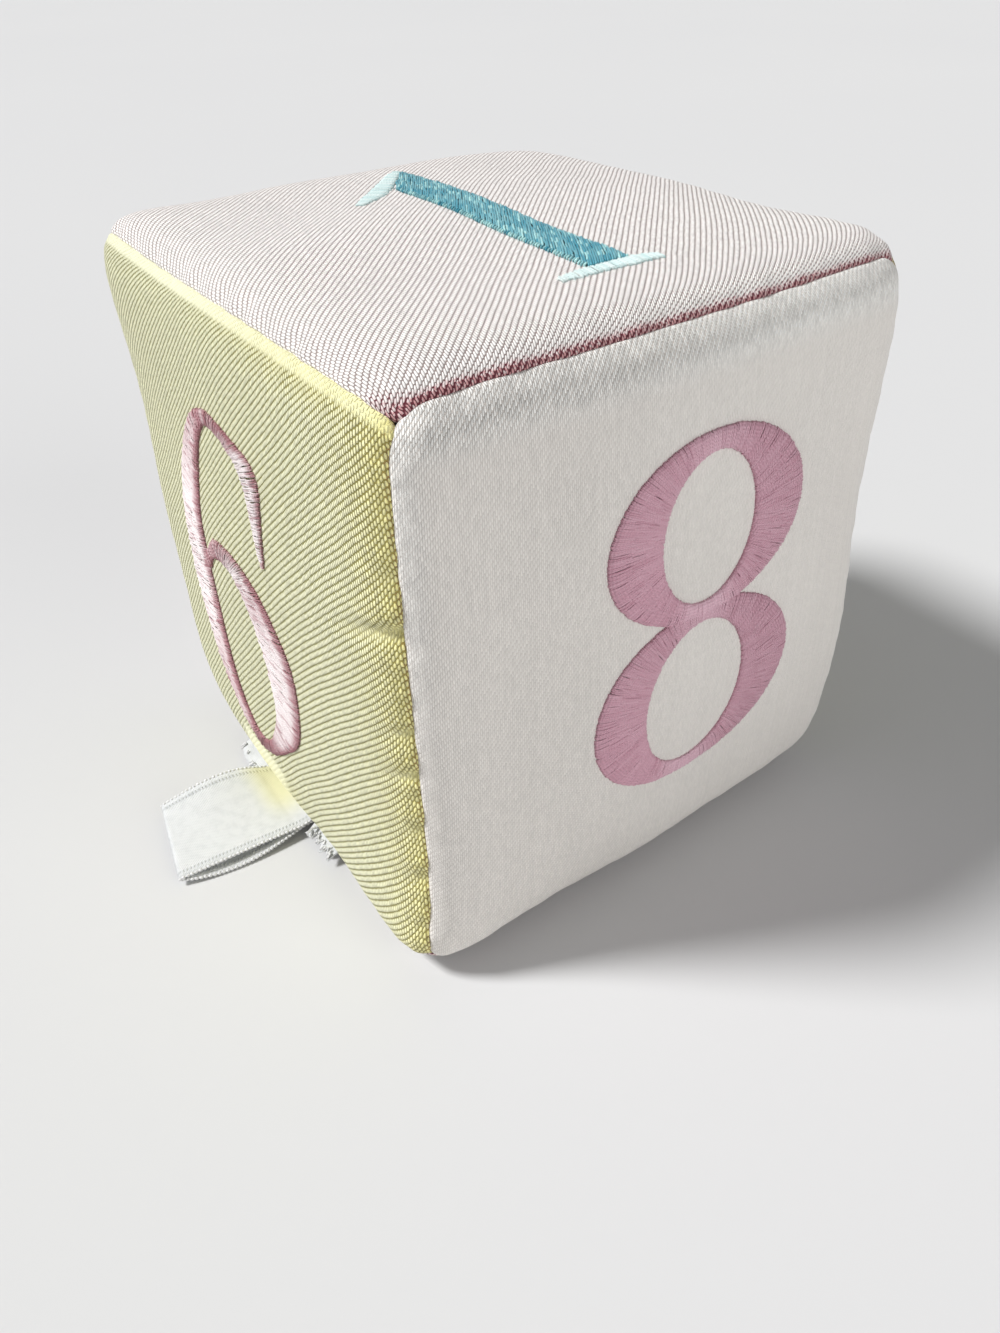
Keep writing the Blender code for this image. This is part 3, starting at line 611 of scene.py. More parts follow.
class Look:
    """One procedural material, built node by node."""

    def __init__(self, name, roughness, sheen=0.0, specular=0.4):
        self.material = bpy.data.materials.new(name)
        self.material.use_nodes = True
        self.tree = self.material.node_tree
        self.shader = self.tree.nodes["Principled BSDF"]
        self.shader.inputs["Roughness"].default_value = roughness
        self.shader.inputs["Specular IOR Level"].default_value = specular
        self.shader.inputs["Sheen Weight"].default_value = sheen
        self.shader.inputs["Sheen Roughness"].default_value = 0.5

    def feed(self, socket, value):
        if isinstance(value, Wire):
            self.tree.links.new(value.socket, socket)
        elif isinstance(value, tuple) and len(value) == 3 and len(socket.default_value) == 4:
            socket.default_value = (*value, 1.0)
        else:
            socket.default_value = value

    def node(self, kind, feeds=(), output=0, **settings):
        """Adds a node with what feeds its inputs, and gives one of its outputs."""
        node = self.tree.nodes.new("ShaderNode" + kind)
        for key, value in settings.items():
            setattr(node, key, value)
        for key, value in dict(feeds).items():
            self.feed(node.inputs[key], value)
        return Wire(self, node.outputs[output])

    def attribute(self, name, output="Fac"):
        return self.node("Attribute", output=output, attribute_name=name)

    def object_place(self):
        return self.node("TexCoord", output="Object")

    def math(self, operation, *values, clamp=False):
        return self.node("Math", enumerate(values), operation=operation, use_clamp=clamp)

    def vector(self, operation, first, second):
        return self.node("VectorMath", {0: first, 1: second}, operation=operation)

    def scaled(self, vector, factor):
        """A vector or a colour times a factor."""
        return self.node("VectorMath", {0: vector, "Scale": factor}, operation="SCALE")

    def noise(self, place, scale, detail=2.0, output="Fac"):
        return self.node("TexNoise", {"Vector": place, "Scale": scale, "Detail": detail}, output)

    def cell(self, x, y):
        """A random value for each pair of whole numbers."""
        joined = self.node("CombineXYZ", {0: x, 1: y})
        return self.node("TexWhiteNoise", {"Vector": joined}, "Value")

    def step(self, value, low, high):
        feeds = {"Value": value, "From Min": low, "From Max": high}
        return self.node("MapRange", feeds, "Result", interpolation_type="SMOOTHSTEP")

    def mix(self, factor, first, second):
        return self.node("Mix", {"Factor": factor, 6: first, 7: second}, 2, data_type="RGBA")

    def sine(self, value):
        return self.math("SINE", value)

    def split(self, vector):
        """The first two numbers of a vector."""
        return [self.node("SeparateXYZ", {0: vector}, number) for number in (0, 1)]

    def finish(self, colour, height=None, distance=0.0):
        """Colour, and a height that stands out by a distance in metres."""
        self.feed(self.shader.inputs["Base Color"], colour)
        if height:
            bump = {"Strength": 1.0, "Distance": distance, "Height": height}
            self.feed(self.shader.inputs["Normal"], self.node("Bump", bump))
        return self.material


TURN = 2 * math.pi

# How the yarns wander: scale and detail of the noise, and how far it moves them
WANDERS = ((0.07, 1.0, 0.5), (0.7, 2.0, 0.18))

# Picks in one repeat of the twill
REPEAT = 3.0

# For each cloth: yarns to a millimetre across and up, how the panel is drawn out of square,
# how far a float reaches, how parted the yarns are, between which heights the gaps show, how
# deep the relief is in metres and how much deeper in creases and in the painted highlight bands
YARNS = {
    "pink_twill": dict(across=2.55, up=2.50, widening=(0.0024, -0.0026), rising=0.0003,
                       reach=0.66, parted=0.95, gap=(0.04, 0.36), depth=0.00020, creased=0.0),
    "yellow_twill": dict(across=2.22, up=2.46, widening=(-0.0037, 0.0042), rising=0.0040,
                         reach=0.72, parted=1.10, gap=(0.08, 0.47), depth=0.00028, creased=0.5),
    "white_cotton": dict(across=2.95, up=2.75, widening=(0.0, 0.0015), rising=-0.0012,
                         reach=0.68, parted=0.90, gap=(0.04, 0.46), depth=0.00014, creased=0.6),
}

# Screen colours of each cloth, high and low, where it is plain, in its bands and in creases.
# The low colours are the crossing yarns' colour with painted shade in the grooves; the bands are
# the rose weft on the pink twill and painted shade in the seam roll on the yellow and white cloths;
# the crease colours are a golden tint in the yellow twill's valleys and fold and painted highlight
# beside the near seams and under the white cotton's top seam
SHADES = {
    "pink_twill": (((254, 250, 247), (150, 134, 130)), ((216, 160, 162), (104, 44, 54)),
                   ((250, 236, 232), (150, 120, 116))),
    "yellow_twill": (((252, 251, 216), (134, 130, 72)), ((236, 214, 146), (160, 130, 78)),
                     ((253, 243, 150), (172, 158, 84))),
    "white_cotton": (((240, 235, 229), (204, 196, 189)), ((240, 235, 229), (176, 164, 156)),
                     ((255, 254, 250), (206, 199, 192))),
}

# Screen colours of each thread, dark and light
THREADS = {
    "satin_rose": ((190, 116, 140), (248, 208, 222)),
    # On the 6 and the 7 the light colour of satin_blush stands for painted sheen and the dark for
    # painted shade
    "satin_blush": ((176, 118, 126), (252, 242, 242)),
    "satin_teal": ((46, 148, 170), (190, 240, 238)),
    "satin_aqua": ((158, 214, 216), (240, 254, 252)),
    "white_thread": ((200, 202, 203), (236, 236, 236)),
}
PLY_PITCH = 0.55
LINE_PITCH = 0.24
PICK_PITCH = 0.30
EDGE_STITCH_PITCH = 0.72
EDGE_STITCHES_IN = 1.25

PANEL_CLOTHS = {"top": "pink_twill", "bottom": "pink_twill", "front": "white_cotton",
                "back": "white_cotton", "left": "yellow_twill", "right": "yellow_twill"}


def wandering(look):
    """Cloth places in millimetres whose yarns wander a little."""
    place = moved = look.attribute("cloth", "Vector")
    for scale, detail, far in WANDERS:
        swing = look.vector("SUBTRACT", look.noise(place, scale, detail, "Color"), (0.5, 0.5, 0.5))
        moved = look.vector("ADD", moved, look.scaled(swing, far))
    return moved


def twill_look(name):
    """Twill of three picks: raised diagonal ribs of short floats over darker crossing yarns, with
    painted shade in the grooves.
    """
    look, yarns = Look(name, 0.92, sheen=0.2, specular=0.25), YARNS[name]
    plain_pair, edge_pair, crease_and_painted_highlight_pair = ([srgb(c) for c in pair] for pair in SHADES[name])
    place = wandering(look)
    u, v = look.split(place)
    along_u, along_v = yarns["widening"]
    column = u * (u * along_u + yarns["across"] + v * along_v)
    row = v * (v * yarns["rising"] + yarns["up"])
    warp = look.math("FLOOR", column)
    across = look.math("FRACT", column) * 2.0 - 1.0
    cycle = (row - warp) / REPEAT
    chance = look.cell(warp, look.math("FLOOR", cycle))
    along = look.math("FRACT", cycle) * REPEAT + (chance * 0.4 - 1.2)
    reach = along * yarns["reach"]
    left_over = 1.0 - (reach * reach + across * across * yarns["parted"])
    float_height = look.math("POWER", look.math("MAXIMUM", 0.0, left_over), 0.55)
    groove = look.math("PINGPONG", (row - column + 0.5) / REPEAT - 5.0 / 6.0, 0.5)
    plain, band = look.attribute("plain"), look.attribute("band")
    patchy = look.noise(place, 0.8, 3.0) * 1.1 + 0.4
    # Crease colours: golden tint in the yellow twill's valleys and fold, painted highlight beside
    # the near seams and under the white cotton's top seam
    crease_and_painted_highlight = look.math("MULTIPLY", look.attribute("crease_and_painted_highlight"), patchy, clamp=True)
    ragged = look.noise(place, 2.2) * 1.7 - 0.85
    # The band: rose weft on the pink twill, painted shade in the seam roll on the yellow and white
    # cloths
    weft_and_painted_shade_band = band + ragged * look.step(band, 0.0, 0.2)
    edge = look.step(weft_and_painted_shade_band, 0.05, 0.75)
    core = look.step(weft_and_painted_shade_band, 0.72, 1.0)
    uneven = look.noise(place, 1.6) * 0.18 - 0.09
    groove = groove + uneven + (plain * 0.25 + (chance * 0.14 - 0.07))
    height = look.step(groove, 0.0, 0.22) * 0.12 + float_height * 0.88
    height = look.math("MAXIMUM", height, plain * 0.62)
    low_gap, high_gap = yarns["gap"]
    low_end = core * 0.26 + (edge * 0.18 + low_gap)
    high_end = core * 0.36 + (edge * 0.16 + high_gap)
    cover = look.step(plain * 0.3 + height, low_end, high_end)
    varied = crease_and_painted_highlight * 0.16 + 0.18 + plain * -0.26
    tone = (chance - 0.5) * varied + 1.0 + look.cell(warp, 3.0) * 0.03
    tone = tone * (look.noise(place, 0.05, 3.0) * 0.08 + 0.96)
    high = look.mix(edge * 0.42 + core * 0.58, plain_pair[0], edge_pair[0])
    high = look.mix(crease_and_painted_highlight * 0.85, high, crease_and_painted_highlight_pair[0])
    # The low colours are the crossing yarns' colour with painted shade in the grooves
    low = look.mix(crease_and_painted_highlight * 0.85, plain_pair[1], crease_and_painted_highlight_pair[1])
    low = look.mix(edge, low, edge_pair[1])
    fuzz = look.noise(place, 7.0, 3.0)
    raised = (fuzz * 0.25 + height) * (crease_and_painted_highlight * yarns["creased"] + 1.0)
    return look.finish(look.scaled(look.mix(cover, low, high), tone), raised, yarns["depth"])


def thread_look(name, dark, light):
    """Lustrous embroidery thread; each thread has its own tone, and its plies show."""
    look = Look(name, 0.42, sheen=0.2, specular=0.5)
    place = look.attribute("ply", "Vector")
    along, round_it = look.split(place)
    speck = look.noise(place, 1.5) * 0.24 - 0.12
    share = look.math("ADD", look.attribute("tone"), speck, clamp=True)
    plies = look.sine(along * (TURN / PLY_PITCH) + round_it * TURN)
    # The plies are painted a little darker in their grooves: painted shade, besides the bump
    colour = look.scaled(look.mix(share, srgb(dark), srgb(light)), plies * 0.05 + 0.97)
    return look.finish(colour, plies, 0.00003)


def ribbon_look(name):
    """Woven satin ribbon: fine long warp lines and slanted stitches beside its edges."""
    look = Look(name, 0.42, sheen=0.1, specular=0.5)
    place = look.attribute("cloth", "Vector")
    along, across = look.split(place)
    lines = look.sine(across * (TURN / LINE_PITCH))
    picks = look.sine(along * (TURN / PICK_PITCH))
    side = look.attribute("side")
    border = 1.0 - look.step(look.math("ABSOLUTE", side - EDGE_STITCHES_IN), 0.15, 0.42)
    slant = look.sine(along * (TURN / EDGE_STITCH_PITCH) + side * 2.4)
    height = lines * 0.5 + picks * 0.3 + border * (slant * 1.2 + 1.2)
    mottle = look.step(look.noise(place, 0.55, 4.0), 0.40, 0.75)
    shade = border * 0.25 + mottle * 0.18
    colour = look.mix(shade, srgb((240, 242, 243)), srgb((176, 182, 184)))
    colour = look.mix(look.attribute("warm"), colour, srgb((248, 244, 190)))
    stain = look.noise(place, 0.25, 3.0) * 0.06 + 0.95
    return look.finish(look.scaled(colour, stain), height, 0.00007)


def foam_look(name):
    """Open-celled foam."""
    look = Look(name, 0.95, specular=0.1)
    feeds = {"Vector": look.object_place(), "Scale": 1400.0}
    depth = look.step(look.node("TexVoronoi", feeds, "Distance"), 0.1, 0.6)
    # The pores are painted darker: painted shade in the pores
    colour = look.mix(depth, srgb((196, 184, 140)), srgb((246, 238, 204)))
    return look.finish(colour, depth, 0.0003)


def fibre_look(name, dark, light):
    """Loose fibres pressed or wound together."""
    look = Look(name, 0.9, sheen=0.2, specular=0.2)
    place = look.object_place()
    feeds = {"Vector": place, "Scale": 260.0, "Distortion": 3.0}
    bands = look.node("TexWave", feeds, "Fac")
    share = look.noise(place, 900.0, 5.0) * 0.6 + bands * 0.4
    return look.finish(look.mix(share, srgb(dark), srgb(light)), share, 0.0002)


LOOKS = {name: twill_look(name) for name in YARNS}
LOOKS.update((name, thread_look(name, *colours)) for name, colours in THREADS.items())
LOOKS["ribbon"] = ribbon_look("ribbon")
LOOKS["backing"] = fibre_look("backing", (226, 226, 222), (250, 250, 248))
LOOKS["seam_thread"] = fibre_look("seam_thread", (176, 164, 156), (226, 218, 210))
LOOKS["foam"] = foam_look("foam")


# Threads

TUBE_SIDES = 5
PLY_SHIFT = 3.7
THREAD_RADIUS = 0.20
FINE_PER_RUNG = 60

# Places along each stitch; how high rows stand by their width, and at the least and most;
# and how each next column of rungs lies higher than the last
SHARES = np.array([0.0, 0.07, 0.27, 0.5, 0.73, 0.93, 1.0])
ROW_HEIGHT, HEIGHT_BY_WIDTH = 0.14, 0.08
ROW_HEIGHTS = (0.22, 0.46)
COLUMN_RISE = 0.05
LAP = 0.35
CUT_LUCK = 0.42
END_SUNK = -0.10
END_TAPER = 0.55
# Painted shade at both ends of each row, where the threads dive into the cloth
ENDS_PAINTED_SHADE = 0.20


def tubes(paths, ups, radii, sides=TUBE_SIDES, flat=0.8):
    """Closed tubes along many paths at once: vertices, faces and each vertex's ply place."""
    count, steps, _ = paths.shape
    run = unit(np.gradient(paths, axis=1))
    side = unit(np.cross(run, ups))
    up = np.cross(side, run)
    angles = (np.arange(sides) * TURN / sides + TURN / 4)[:, None]
    turned = np.cos(angles) * side[:, :, None] + flat * np.sin(angles) * up[:, :, None]
    rings = paths[:, :, None] + radii[..., None, None] * turned
    ply = np.zeros((count, steps, sides, 3))
    ply[..., 0] = running(steps_of(paths))[:, :, None]
    ply[..., 1] = np.arange(sides) / sides
    ply[..., 2] = (np.arange(count) * PLY_SHIFT)[:, None, None]
    index = np.arange(count * steps * sides).reshape(count, steps, sides)
    after = np.roll(index, -1, axis=2)
    faces = np.stack([index[:, :-1], after[:, :-1], after[:, 1:], index[:, 1:]], -1)
    faces = faces.reshape(-1, 4).tolist() + index[:, 0, ::-1].tolist() + index[:, -1].tolist()
    return rings.reshape(-1, 3), faces, ply.reshape(-1, 3)


def through(points, places):
    """Smooth curve through points, at places from 0 to their number less one."""
    first = np.clip(np.floor(places).astype(int), 0, len(points) - 2)
    t = (places - first)[:, None]
    before, after = np.clip(first - 1, 0, None), np.clip(first + 2, None, len(points) - 1)
    p0, p1, p2, p3 = points[before], points[first], points[first + 1], points[after]
    m1, m2 = (p2 - p0) / 2, (p3 - p1) / 2
    return ((2 * t ** 3 - 3 * t ** 2 + 1) * p1 + (t ** 3 - 2 * t ** 2 + t) * m1
            + (-2 * t ** 3 + 3 * t ** 2) * p2 + (t ** 3 - t ** 2) * m2)


def rungs_along(rungs, pitch):
    """Stitch ends along a column of rungs, spaced by the wider side."""
    left, right = rungs.transpose(1, 0, 2)
    fine = np.linspace(0, len(rungs) - 1, FINE_PER_RUNG * len(rungs))
    gone = running(np.maximum(steps_of(through(left, fine)), steps_of(through(right, fine))))
    count = max(2, int(gone[-1] / pitch))
    places = np.interp(np.linspace(0, gone[-1], count), gone, fine)
    return through(left, places), through(right, places)


def satin_rows(columns, pitch):
    """Both ends of each satin stitch across columns of rungs."""
    return [rungs_along(column, pitch) for column in columns]


def hatch_rows(points, angle, pitch):
    """Both ends of each slanted row that fills a convex outline."""
    turn = math.radians(angle)
    run = np.array([math.cos(turn), math.sin(turn)])
    off = np.array([-run[1], run[0]])
    following = np.roll(points, -1, 0)
    levels, next_levels = points @ off, following @ off
    rows = []
    for level in np.arange(levels.min() + pitch / 2, levels.max(), pitch):
        crossed = (levels - level) * (next_levels - level) < 0
        share = (level - levels[crossed]) / (next_levels - levels)[crossed]
        spots = points[crossed] + (following - points)[crossed] * share[:, None]
        if len(spots) > 1:
            rows.append(spots[np.argsort(spots @ run)][[0, -1]])
    return [np.array(rows).transpose(1, 0, 2)]


def cut_stitches(all_rows, luck, longest, ragged, painted_shade_side):
    """Rows cut into stitches: start, end, width of the row, its share, its column and how it runs
    towards the painted shade.
    """
    stitches = []
    for number, (left, right) in enumerate(all_rows):
        run = right - left
        width = np.linalg.norm(run, axis=1)
        run = run / np.maximum(width, TINY)[:, None]
        left = left - run * luck.uniform(0, ragged, len(run))[:, None]
        right = right + run * luck.uniform(0, ragged, len(run))[:, None]
        for a, b, w, towards in zip(left, right, width, run @ np.array(painted_shade_side)):
            parts = max(1, math.ceil(w / longest))
            cuts = np.linspace(0, 1, parts + 1)
            cuts[1:-1] += luck.uniform(-CUT_LUCK, CUT_LUCK, parts - 1) / parts
            lap = LAP / max(w, TINY)
            for low, high in zip(cuts[:-1], cuts[1:]):
                start = a + (b - a) * (low - lap * (low > 0))
                end = a + (b - a) * (high + lap * (high < 1))
                stitches.append((*start, *end, w, low, high, number, towards))
    stitches = np.array(stitches)
    return stitches[:, :2], stitches[:, 2:4], stitches[:, 4], stitches[:, 5:, None].swapaxes(0, 1)


def stitched(name, panel, all_rows, thread_name, tones, seed, longest=4.6, ragged=0.35,
             jitter=0.05, painted_shade_side=(0.0, 0.0), full=1.0, thread=THREAD_RADIUS):
    """Threads along all rows; tones gives each stitch's tone from its row's length."""
    luck = np.random.default_rng(seed)
    cut = cut_stitches(all_rows, luck, longest, ragged, painted_shade_side)
    starts, ends, width_of, (low, high, number, facing) = cut
    count, share = len(starts), SHARES
    run = ends - starts
    off = unit(np.stack([-run[:, 1], run[:, 0]], -1))
    starts = starts + luck.normal(0, jitter / 2, starts.shape)
    bow = luck.normal(0, jitter, count)[:, None] * np.sin(math.pi * share)
    places = starts[:, None] + run[:, None] * share[:, None] + off[:, None] * bow[..., None]
    over = low + (high - low) * share
    aside = 2 * over - 1
    tall = full * np.clip(ROW_HEIGHT + HEIGHT_BY_WIDTH * width_of, *ROW_HEIGHTS)[:, None]
    whole = tall * np.clip(1 - np.abs(aside) ** 5, 0, 1) ** 0.5
    dip = np.clip(1 - np.abs(2 * share - 1) ** 6, 0, 1)
    lift = thread / 2 + whole * (0.62 + 0.38 * dip) + luck.normal(0, 0.6 * jitter, count)[:, None]
    outer = (over < 0.001) | (over > 0.999)
    lift = np.where(outer, END_SUNK, lift + COLUMN_RISE * number)
    x, y = places[..., 0], places[..., 1]
    taper = np.where((share == 0) | (share == 1), END_TAPER, 1.0)
    radii = thread * taper * luck.uniform(0.9, 1.1, count)[:, None]
    verts, faces, ply = tubes(cloth(panel, x, y, lift), normals(panel, x, y), radii)
    tone = tones(width_of, (starts + ends) / 2, luck)
    # Painted shade on the side of each stroke away from the light, towards painted_shade_side
    shaded = smooth(np.abs(aside), 0.40, 0.95) * np.maximum(0, facing * aside)
    tone = np.clip(tone[:, None] - ENDS_PAINTED_SHADE * outer - shaded, 0, 1)
    attributes = (("ply", ply), ("tone", np.repeat(tone.ravel(), TUBE_SIDES)))
    piece = make_mesh(f"stitches_{name}", verts, faces, attributes)
    dress(piece, thread_name, f"numeral_{name}")


def placed(shape, size, centre=(0.0, 0.0)):
    """Points of a shape of size 1, at their places on the panel."""
    return np.array(centre) + np.array(shape) * size


def columns_of(tables, size, centre=(0.0, 0.0)):
    """Columns of rungs; each rung is the place of its left end, then of its right end."""
    return [placed(np.reshape(table, (-1, 2, 2)), size, centre) for table in tables]


# The two rings of the 8: centre, outer half sizes, half sizes of the hole and where it starts
EIGHT_RINGS = (
    ((4.8, -12.4), (21.4, 17.9), (10.7, 15.0), 90),
    ((4.8, 19.1), (19.9, 15.8), (9.5, 12.9), 270),
)
HOLE_DROP = (0.0, 0.3)
RING_STEPS = 48


def ring_rungs(centre, outer, hole, start):
    """Rungs from an outer ellipse to its hole, which lies a little lower, round the ring."""
    angles = np.radians(start + np.linspace(0, 360, RING_STEPS + 1))
    out = placed(np.stack([np.cos(angles), np.sin(angles)], -1), outer, centre)
    hole_centre = np.subtract(centre, HOLE_DROP)
    return np.stack([out, placed(unit((out - hole_centre) / hole), hole, hole_centre)], 1)


def build_eight():
    def tones(width, places, luck):
        return 0.50 + 0.42 * smooth(5.0 - width, 0, 3) + luck.normal(0, 0.05, len(width))

    rows = satin_rows([ring_rungs(*ring) for ring in EIGHT_RINGS], pitch=0.33)
    stitched("eight", "front", rows, "satin_rose", tones, 8, longest=3.6, ragged=0.15)


SIX_CENTRE = (-4.8, -3.0)
SIX_SIZE = (43.0, 73.8)
SIX_RUNGS = (
    (0.404, 0.226, 0.390, 0.228), (0.415, 0.256, 0.376, 0.250),
    (0.430, 0.310, 0.366, 0.298), (0.448, 0.370, 0.354, 0.350),
    (0.458, 0.425, 0.334, 0.400), (0.416, 0.462, 0.296, 0.430),
    (0.300, 0.480, 0.228, 0.455), (0.150, 0.496, 0.134, 0.470),
    (0.020, 0.498, 0.040, 0.470), (-0.100, 0.470, -0.035, 0.440),
    (-0.195, 0.418, -0.085, 0.395), (-0.330, 0.300, -0.155, 0.275),
    (-0.445, 0.165, -0.202, 0.180), (-0.487, 0.020, -0.216, 0.070),
    (-0.484, -0.090, -0.228, -0.060), (-0.455, -0.190, -0.232, -0.160),
    (-0.395, -0.285, -0.215, -0.280), (-0.320, -0.360, -0.176, -0.350),
    (-0.215, -0.425, -0.115, -0.402), (-0.080, -0.462, -0.050, -0.426),
    (0.065, -0.445, 0.045, -0.410), (0.235, -0.375, 0.125, -0.350),
    (0.400, -0.270, 0.205, -0.245), (0.478, -0.110, 0.234, -0.105),
    (0.465, -0.010, 0.212, -0.010), (0.395, 0.060, 0.175, 0.050),
    (0.275, 0.130, 0.120, 0.098), (0.110, 0.168, 0.050, 0.122),
    (-0.060, 0.164, -0.034, 0.122), (-0.165, 0.115, -0.128, 0.098),
    (-0.235, 0.080, -0.200, 0.052),
)

# Shaded places of the 6: depth, place and reach
SIX_SHADES = (
    (0.42, (6.5, 3.0), (5.0, 5.5)),
    (0.40, (-13.0, 25.0), (6.0, 7.0)),
    (0.32, (-19.0, -24.0), (6.0, 12.0)),
)


def build_six():
    def tones(width, places, luck):
        # Wide strokes and the hook get painted sheen, the SIX_SHADES places painted shadow, and the
        # 6 darkens towards the bottom
        x, y = places.T
        tone = 0.22 - 0.35 * (1 - smooth(y, -33.0, -18.0))
        for depth, spot, reach in SIX_SHADES:
            tone -= depth * np.exp(-(((places - spot) / reach) ** 2).sum(-1))
        tone -= 0.45 * (luck.uniform(size=len(width)) < 0.14)
        hook = smooth(x, 7.0, 10.0) * smooth(y, 12.0, 15.0)
        tone += 0.78 * np.maximum(smooth(width, 2.6, 5.6), hook)
        return tone + luck.normal(0, 0.10, len(width))

    rows = satin_rows(columns_of([SIX_RUNGS], SIX_SIZE, SIX_CENTRE), pitch=0.29)
    stitched("six", "left", rows, "satin_blush", tones, 6, longest=3.0, ragged=0.25,
             jitter=0.10, painted_shade_side=(1.0, -0.2), thread=0.155)


ONE_SIZE = 71.5
ONE_CENTRE = (0.0, 0.3)
ONE_STEM = ((0.070, 0.452), (0.064, 0.330), (0.056, 0.180), (0.041, -0.462),
            (-0.057, -0.462), (-0.039, 0.180), (-0.032, 0.306))
ONE_EDGE = ((-0.064, -0.456, -0.053, -0.450), (-0.055, -0.130, -0.045, -0.124),
            (-0.046, 0.180, -0.036, 0.186), (-0.039, 0.290, -0.029, 0.300))
ONE_FLAG = ((-0.182, 0.232, -0.174, 0.222), (-0.152, 0.266, -0.134, 0.242),
            (-0.110, 0.306, -0.088, 0.270), (-0.060, 0.356, -0.038, 0.318),
            (0.002, 0.420, 0.020, 0.392), (0.054, 0.470, 0.067, 0.456))
ONE_FOOT = ((-0.144, -0.478, -0.144, -0.489), (-0.110, -0.469, -0.112, -0.492),
            (-0.040, -0.466, -0.042, -0.494), (0.050, -0.466, 0.048, -0.497),
            (0.102, -0.480, 0.102, -0.499))


def build_one():
    def flecked(width, places, luck):
        x, y = places.T
        light = luck.uniform(size=len(width)) < 0.17
        drift = 0.10 * np.sin(y / 3.1) * np.sin(x / 1.7 + y / 5.3)
        plain = 0.20 + drift + luck.normal(0, 0.09, len(width)) + 0.55 * light
        return np.where(width < 1.2, 0.60 + luck.normal(0, 0.35, len(width)), plain)

    def even(width, places, luck):
        return 0.80 + luck.normal(0, 0.16, len(width))

    edge, flag, foot = columns_of((ONE_EDGE, ONE_FLAG, ONE_FOOT), ONE_SIZE, ONE_CENTRE)
    stem = hatch_rows(placed(ONE_STEM, ONE_SIZE, ONE_CENTRE), angle=58.0, pitch=0.36)
    stem += satin_rows([edge], pitch=0.62)
    stitched("one_stem", "top", stem, "satin_teal", flecked, 1, longest=2.0, ragged=0.2)
    for name, column, seed in (("one_flag", flag, 2), ("one_foot", foot, 3)):
        stitched(name, "top", satin_rows([column], pitch=0.25), "satin_aqua", even, seed,
                 ragged=0.5, jitter=0.06, full=0.4, thread=0.16)


HIDDEN_SIZE = 68.0


def bar(first, last, *places):
    """Upright rungs from one level to another at places across."""
    return [(x, first, x, last) for x in places]


# Columns of the 7 and the 4 on the hidden sides
SEVEN_COLUMNS = (
    (*bar(0.500, 0.395, -0.300, 0.000, 0.175), (0.300, 0.500, 0.240, 0.420)),
    ((-0.300, 0.395, -0.190, 0.395), (-0.300, 0.340, -0.226, 0.335),
     (-0.300, 0.270, -0.265, 0.270)),
    ((0.185, 0.440, 0.300, 0.488), (0.175, 0.395, 0.300, 0.450), (0.020, 0.160, 0.140, 0.210),
     (-0.095, -0.130, 0.048, -0.110), (-0.132, -0.330, 0.034, -0.320),
     (-0.140, -0.500, 0.030, -0.500)),
)
FOUR_COLUMNS = (
    ((0.090, 0.500, 0.130, 0.500), (-0.020, 0.345, 0.130, 0.300),
     *((-0.020, y, 0.130, y) for y in (0.100, -0.135, -0.300, -0.450))),
    ((0.090, 0.500, 0.060, 0.420), (-0.060, 0.296, -0.020, 0.285),
     (-0.330, -0.150, -0.285, -0.135)),
    bar(-0.185, -0.135, -0.330, 0.000, 0.300),
    ((-0.140, -0.500, -0.140, -0.460), (0.050, -0.500, 0.050, -0.445),
     (0.260, -0.500, 0.260, -0.460)),
)


def build_hidden_numerals():
    def pale(width, places, luck):
        # Wider strokes are paler: painted sheen, as on the 6
        return 0.50 + 0.35 * smooth(width, 2.4, 6.5) + luck.normal(0, 0.10, len(width))

    def rosy(width, places, luck):
        return 0.50 + luck.normal(0, 0.13, len(width))

    rows = satin_rows(columns_of(SEVEN_COLUMNS, HIDDEN_SIZE), pitch=0.36)
    stitched("seven", "right", rows, "satin_blush", pale, 17, longest=5.0)
    rows = satin_rows(columns_of(FOUR_COLUMNS, HIDDEN_SIZE), pitch=0.33)
    stitched("four", "back", rows, "satin_rose", rosy, 14, longest=3.6, ragged=0.15)


# Ribbons

LABEL_WIDTH = 19.0
LABEL_REACH = 25.0
LABEL_SKEW = 2.4
LABEL_SLANT = 4.1
LABEL_TWIST = 1.6
LABEL_THICK = 0.26
LABEL_LINES = 25
LABEL_PLACES = 150
TAIL_OUT = 0.6
TAIL_PLACES = 7
TAIL_GAPS = (0.57, 0.15)
LABEL_SHARES = np.linspace(0.09, 0.985, 18)
OPEN_FROM, OPEN_OVER = 0.10, 0.88
UPPER_START, UPPER_RISE, UPPER_RISE_FAR = 0.20, 0.15, 2.9
LABEL_GAP, LABEL_OPEN, LABEL_OPEN_FAR = 0.34, 1.25, 0.35
LOWER_ASIDE = 1.7
FINE_PLACES = 900
LOWEST = 0.25
HINGE = np.array([-47.939, 5.6, 2.069])
SEAM_REACH = math.hypot(HALF[2], HALF[0])
SEAM_OUT = np.array([-HALF[0], 0.0, -HALF[2]]) / SEAM_REACH
SEAM_ACROSS = np.array([-HALF[2], 0.0, HALF[0]]) / SEAM_REACH
MOUTH = EDGE_ZETA * SEAM_REACH
RAW = MOUTH - ROLL - ALLOWANCE

# Distances to two places: back from the seam's mouth, and out from the hinge
BEND_START = 0.4
BEND_END = 2.6

# Looped threads of the woven edges
BEAD_PITCH = 0.84
BEAD_STEP = 0.12
BEAD_OUT = 0.06
BEAD_RADIUS, BEAD_SWELL = 0.12, 0.24


def in_metres(place):
    return tuple(float(v) for v in place * MM)


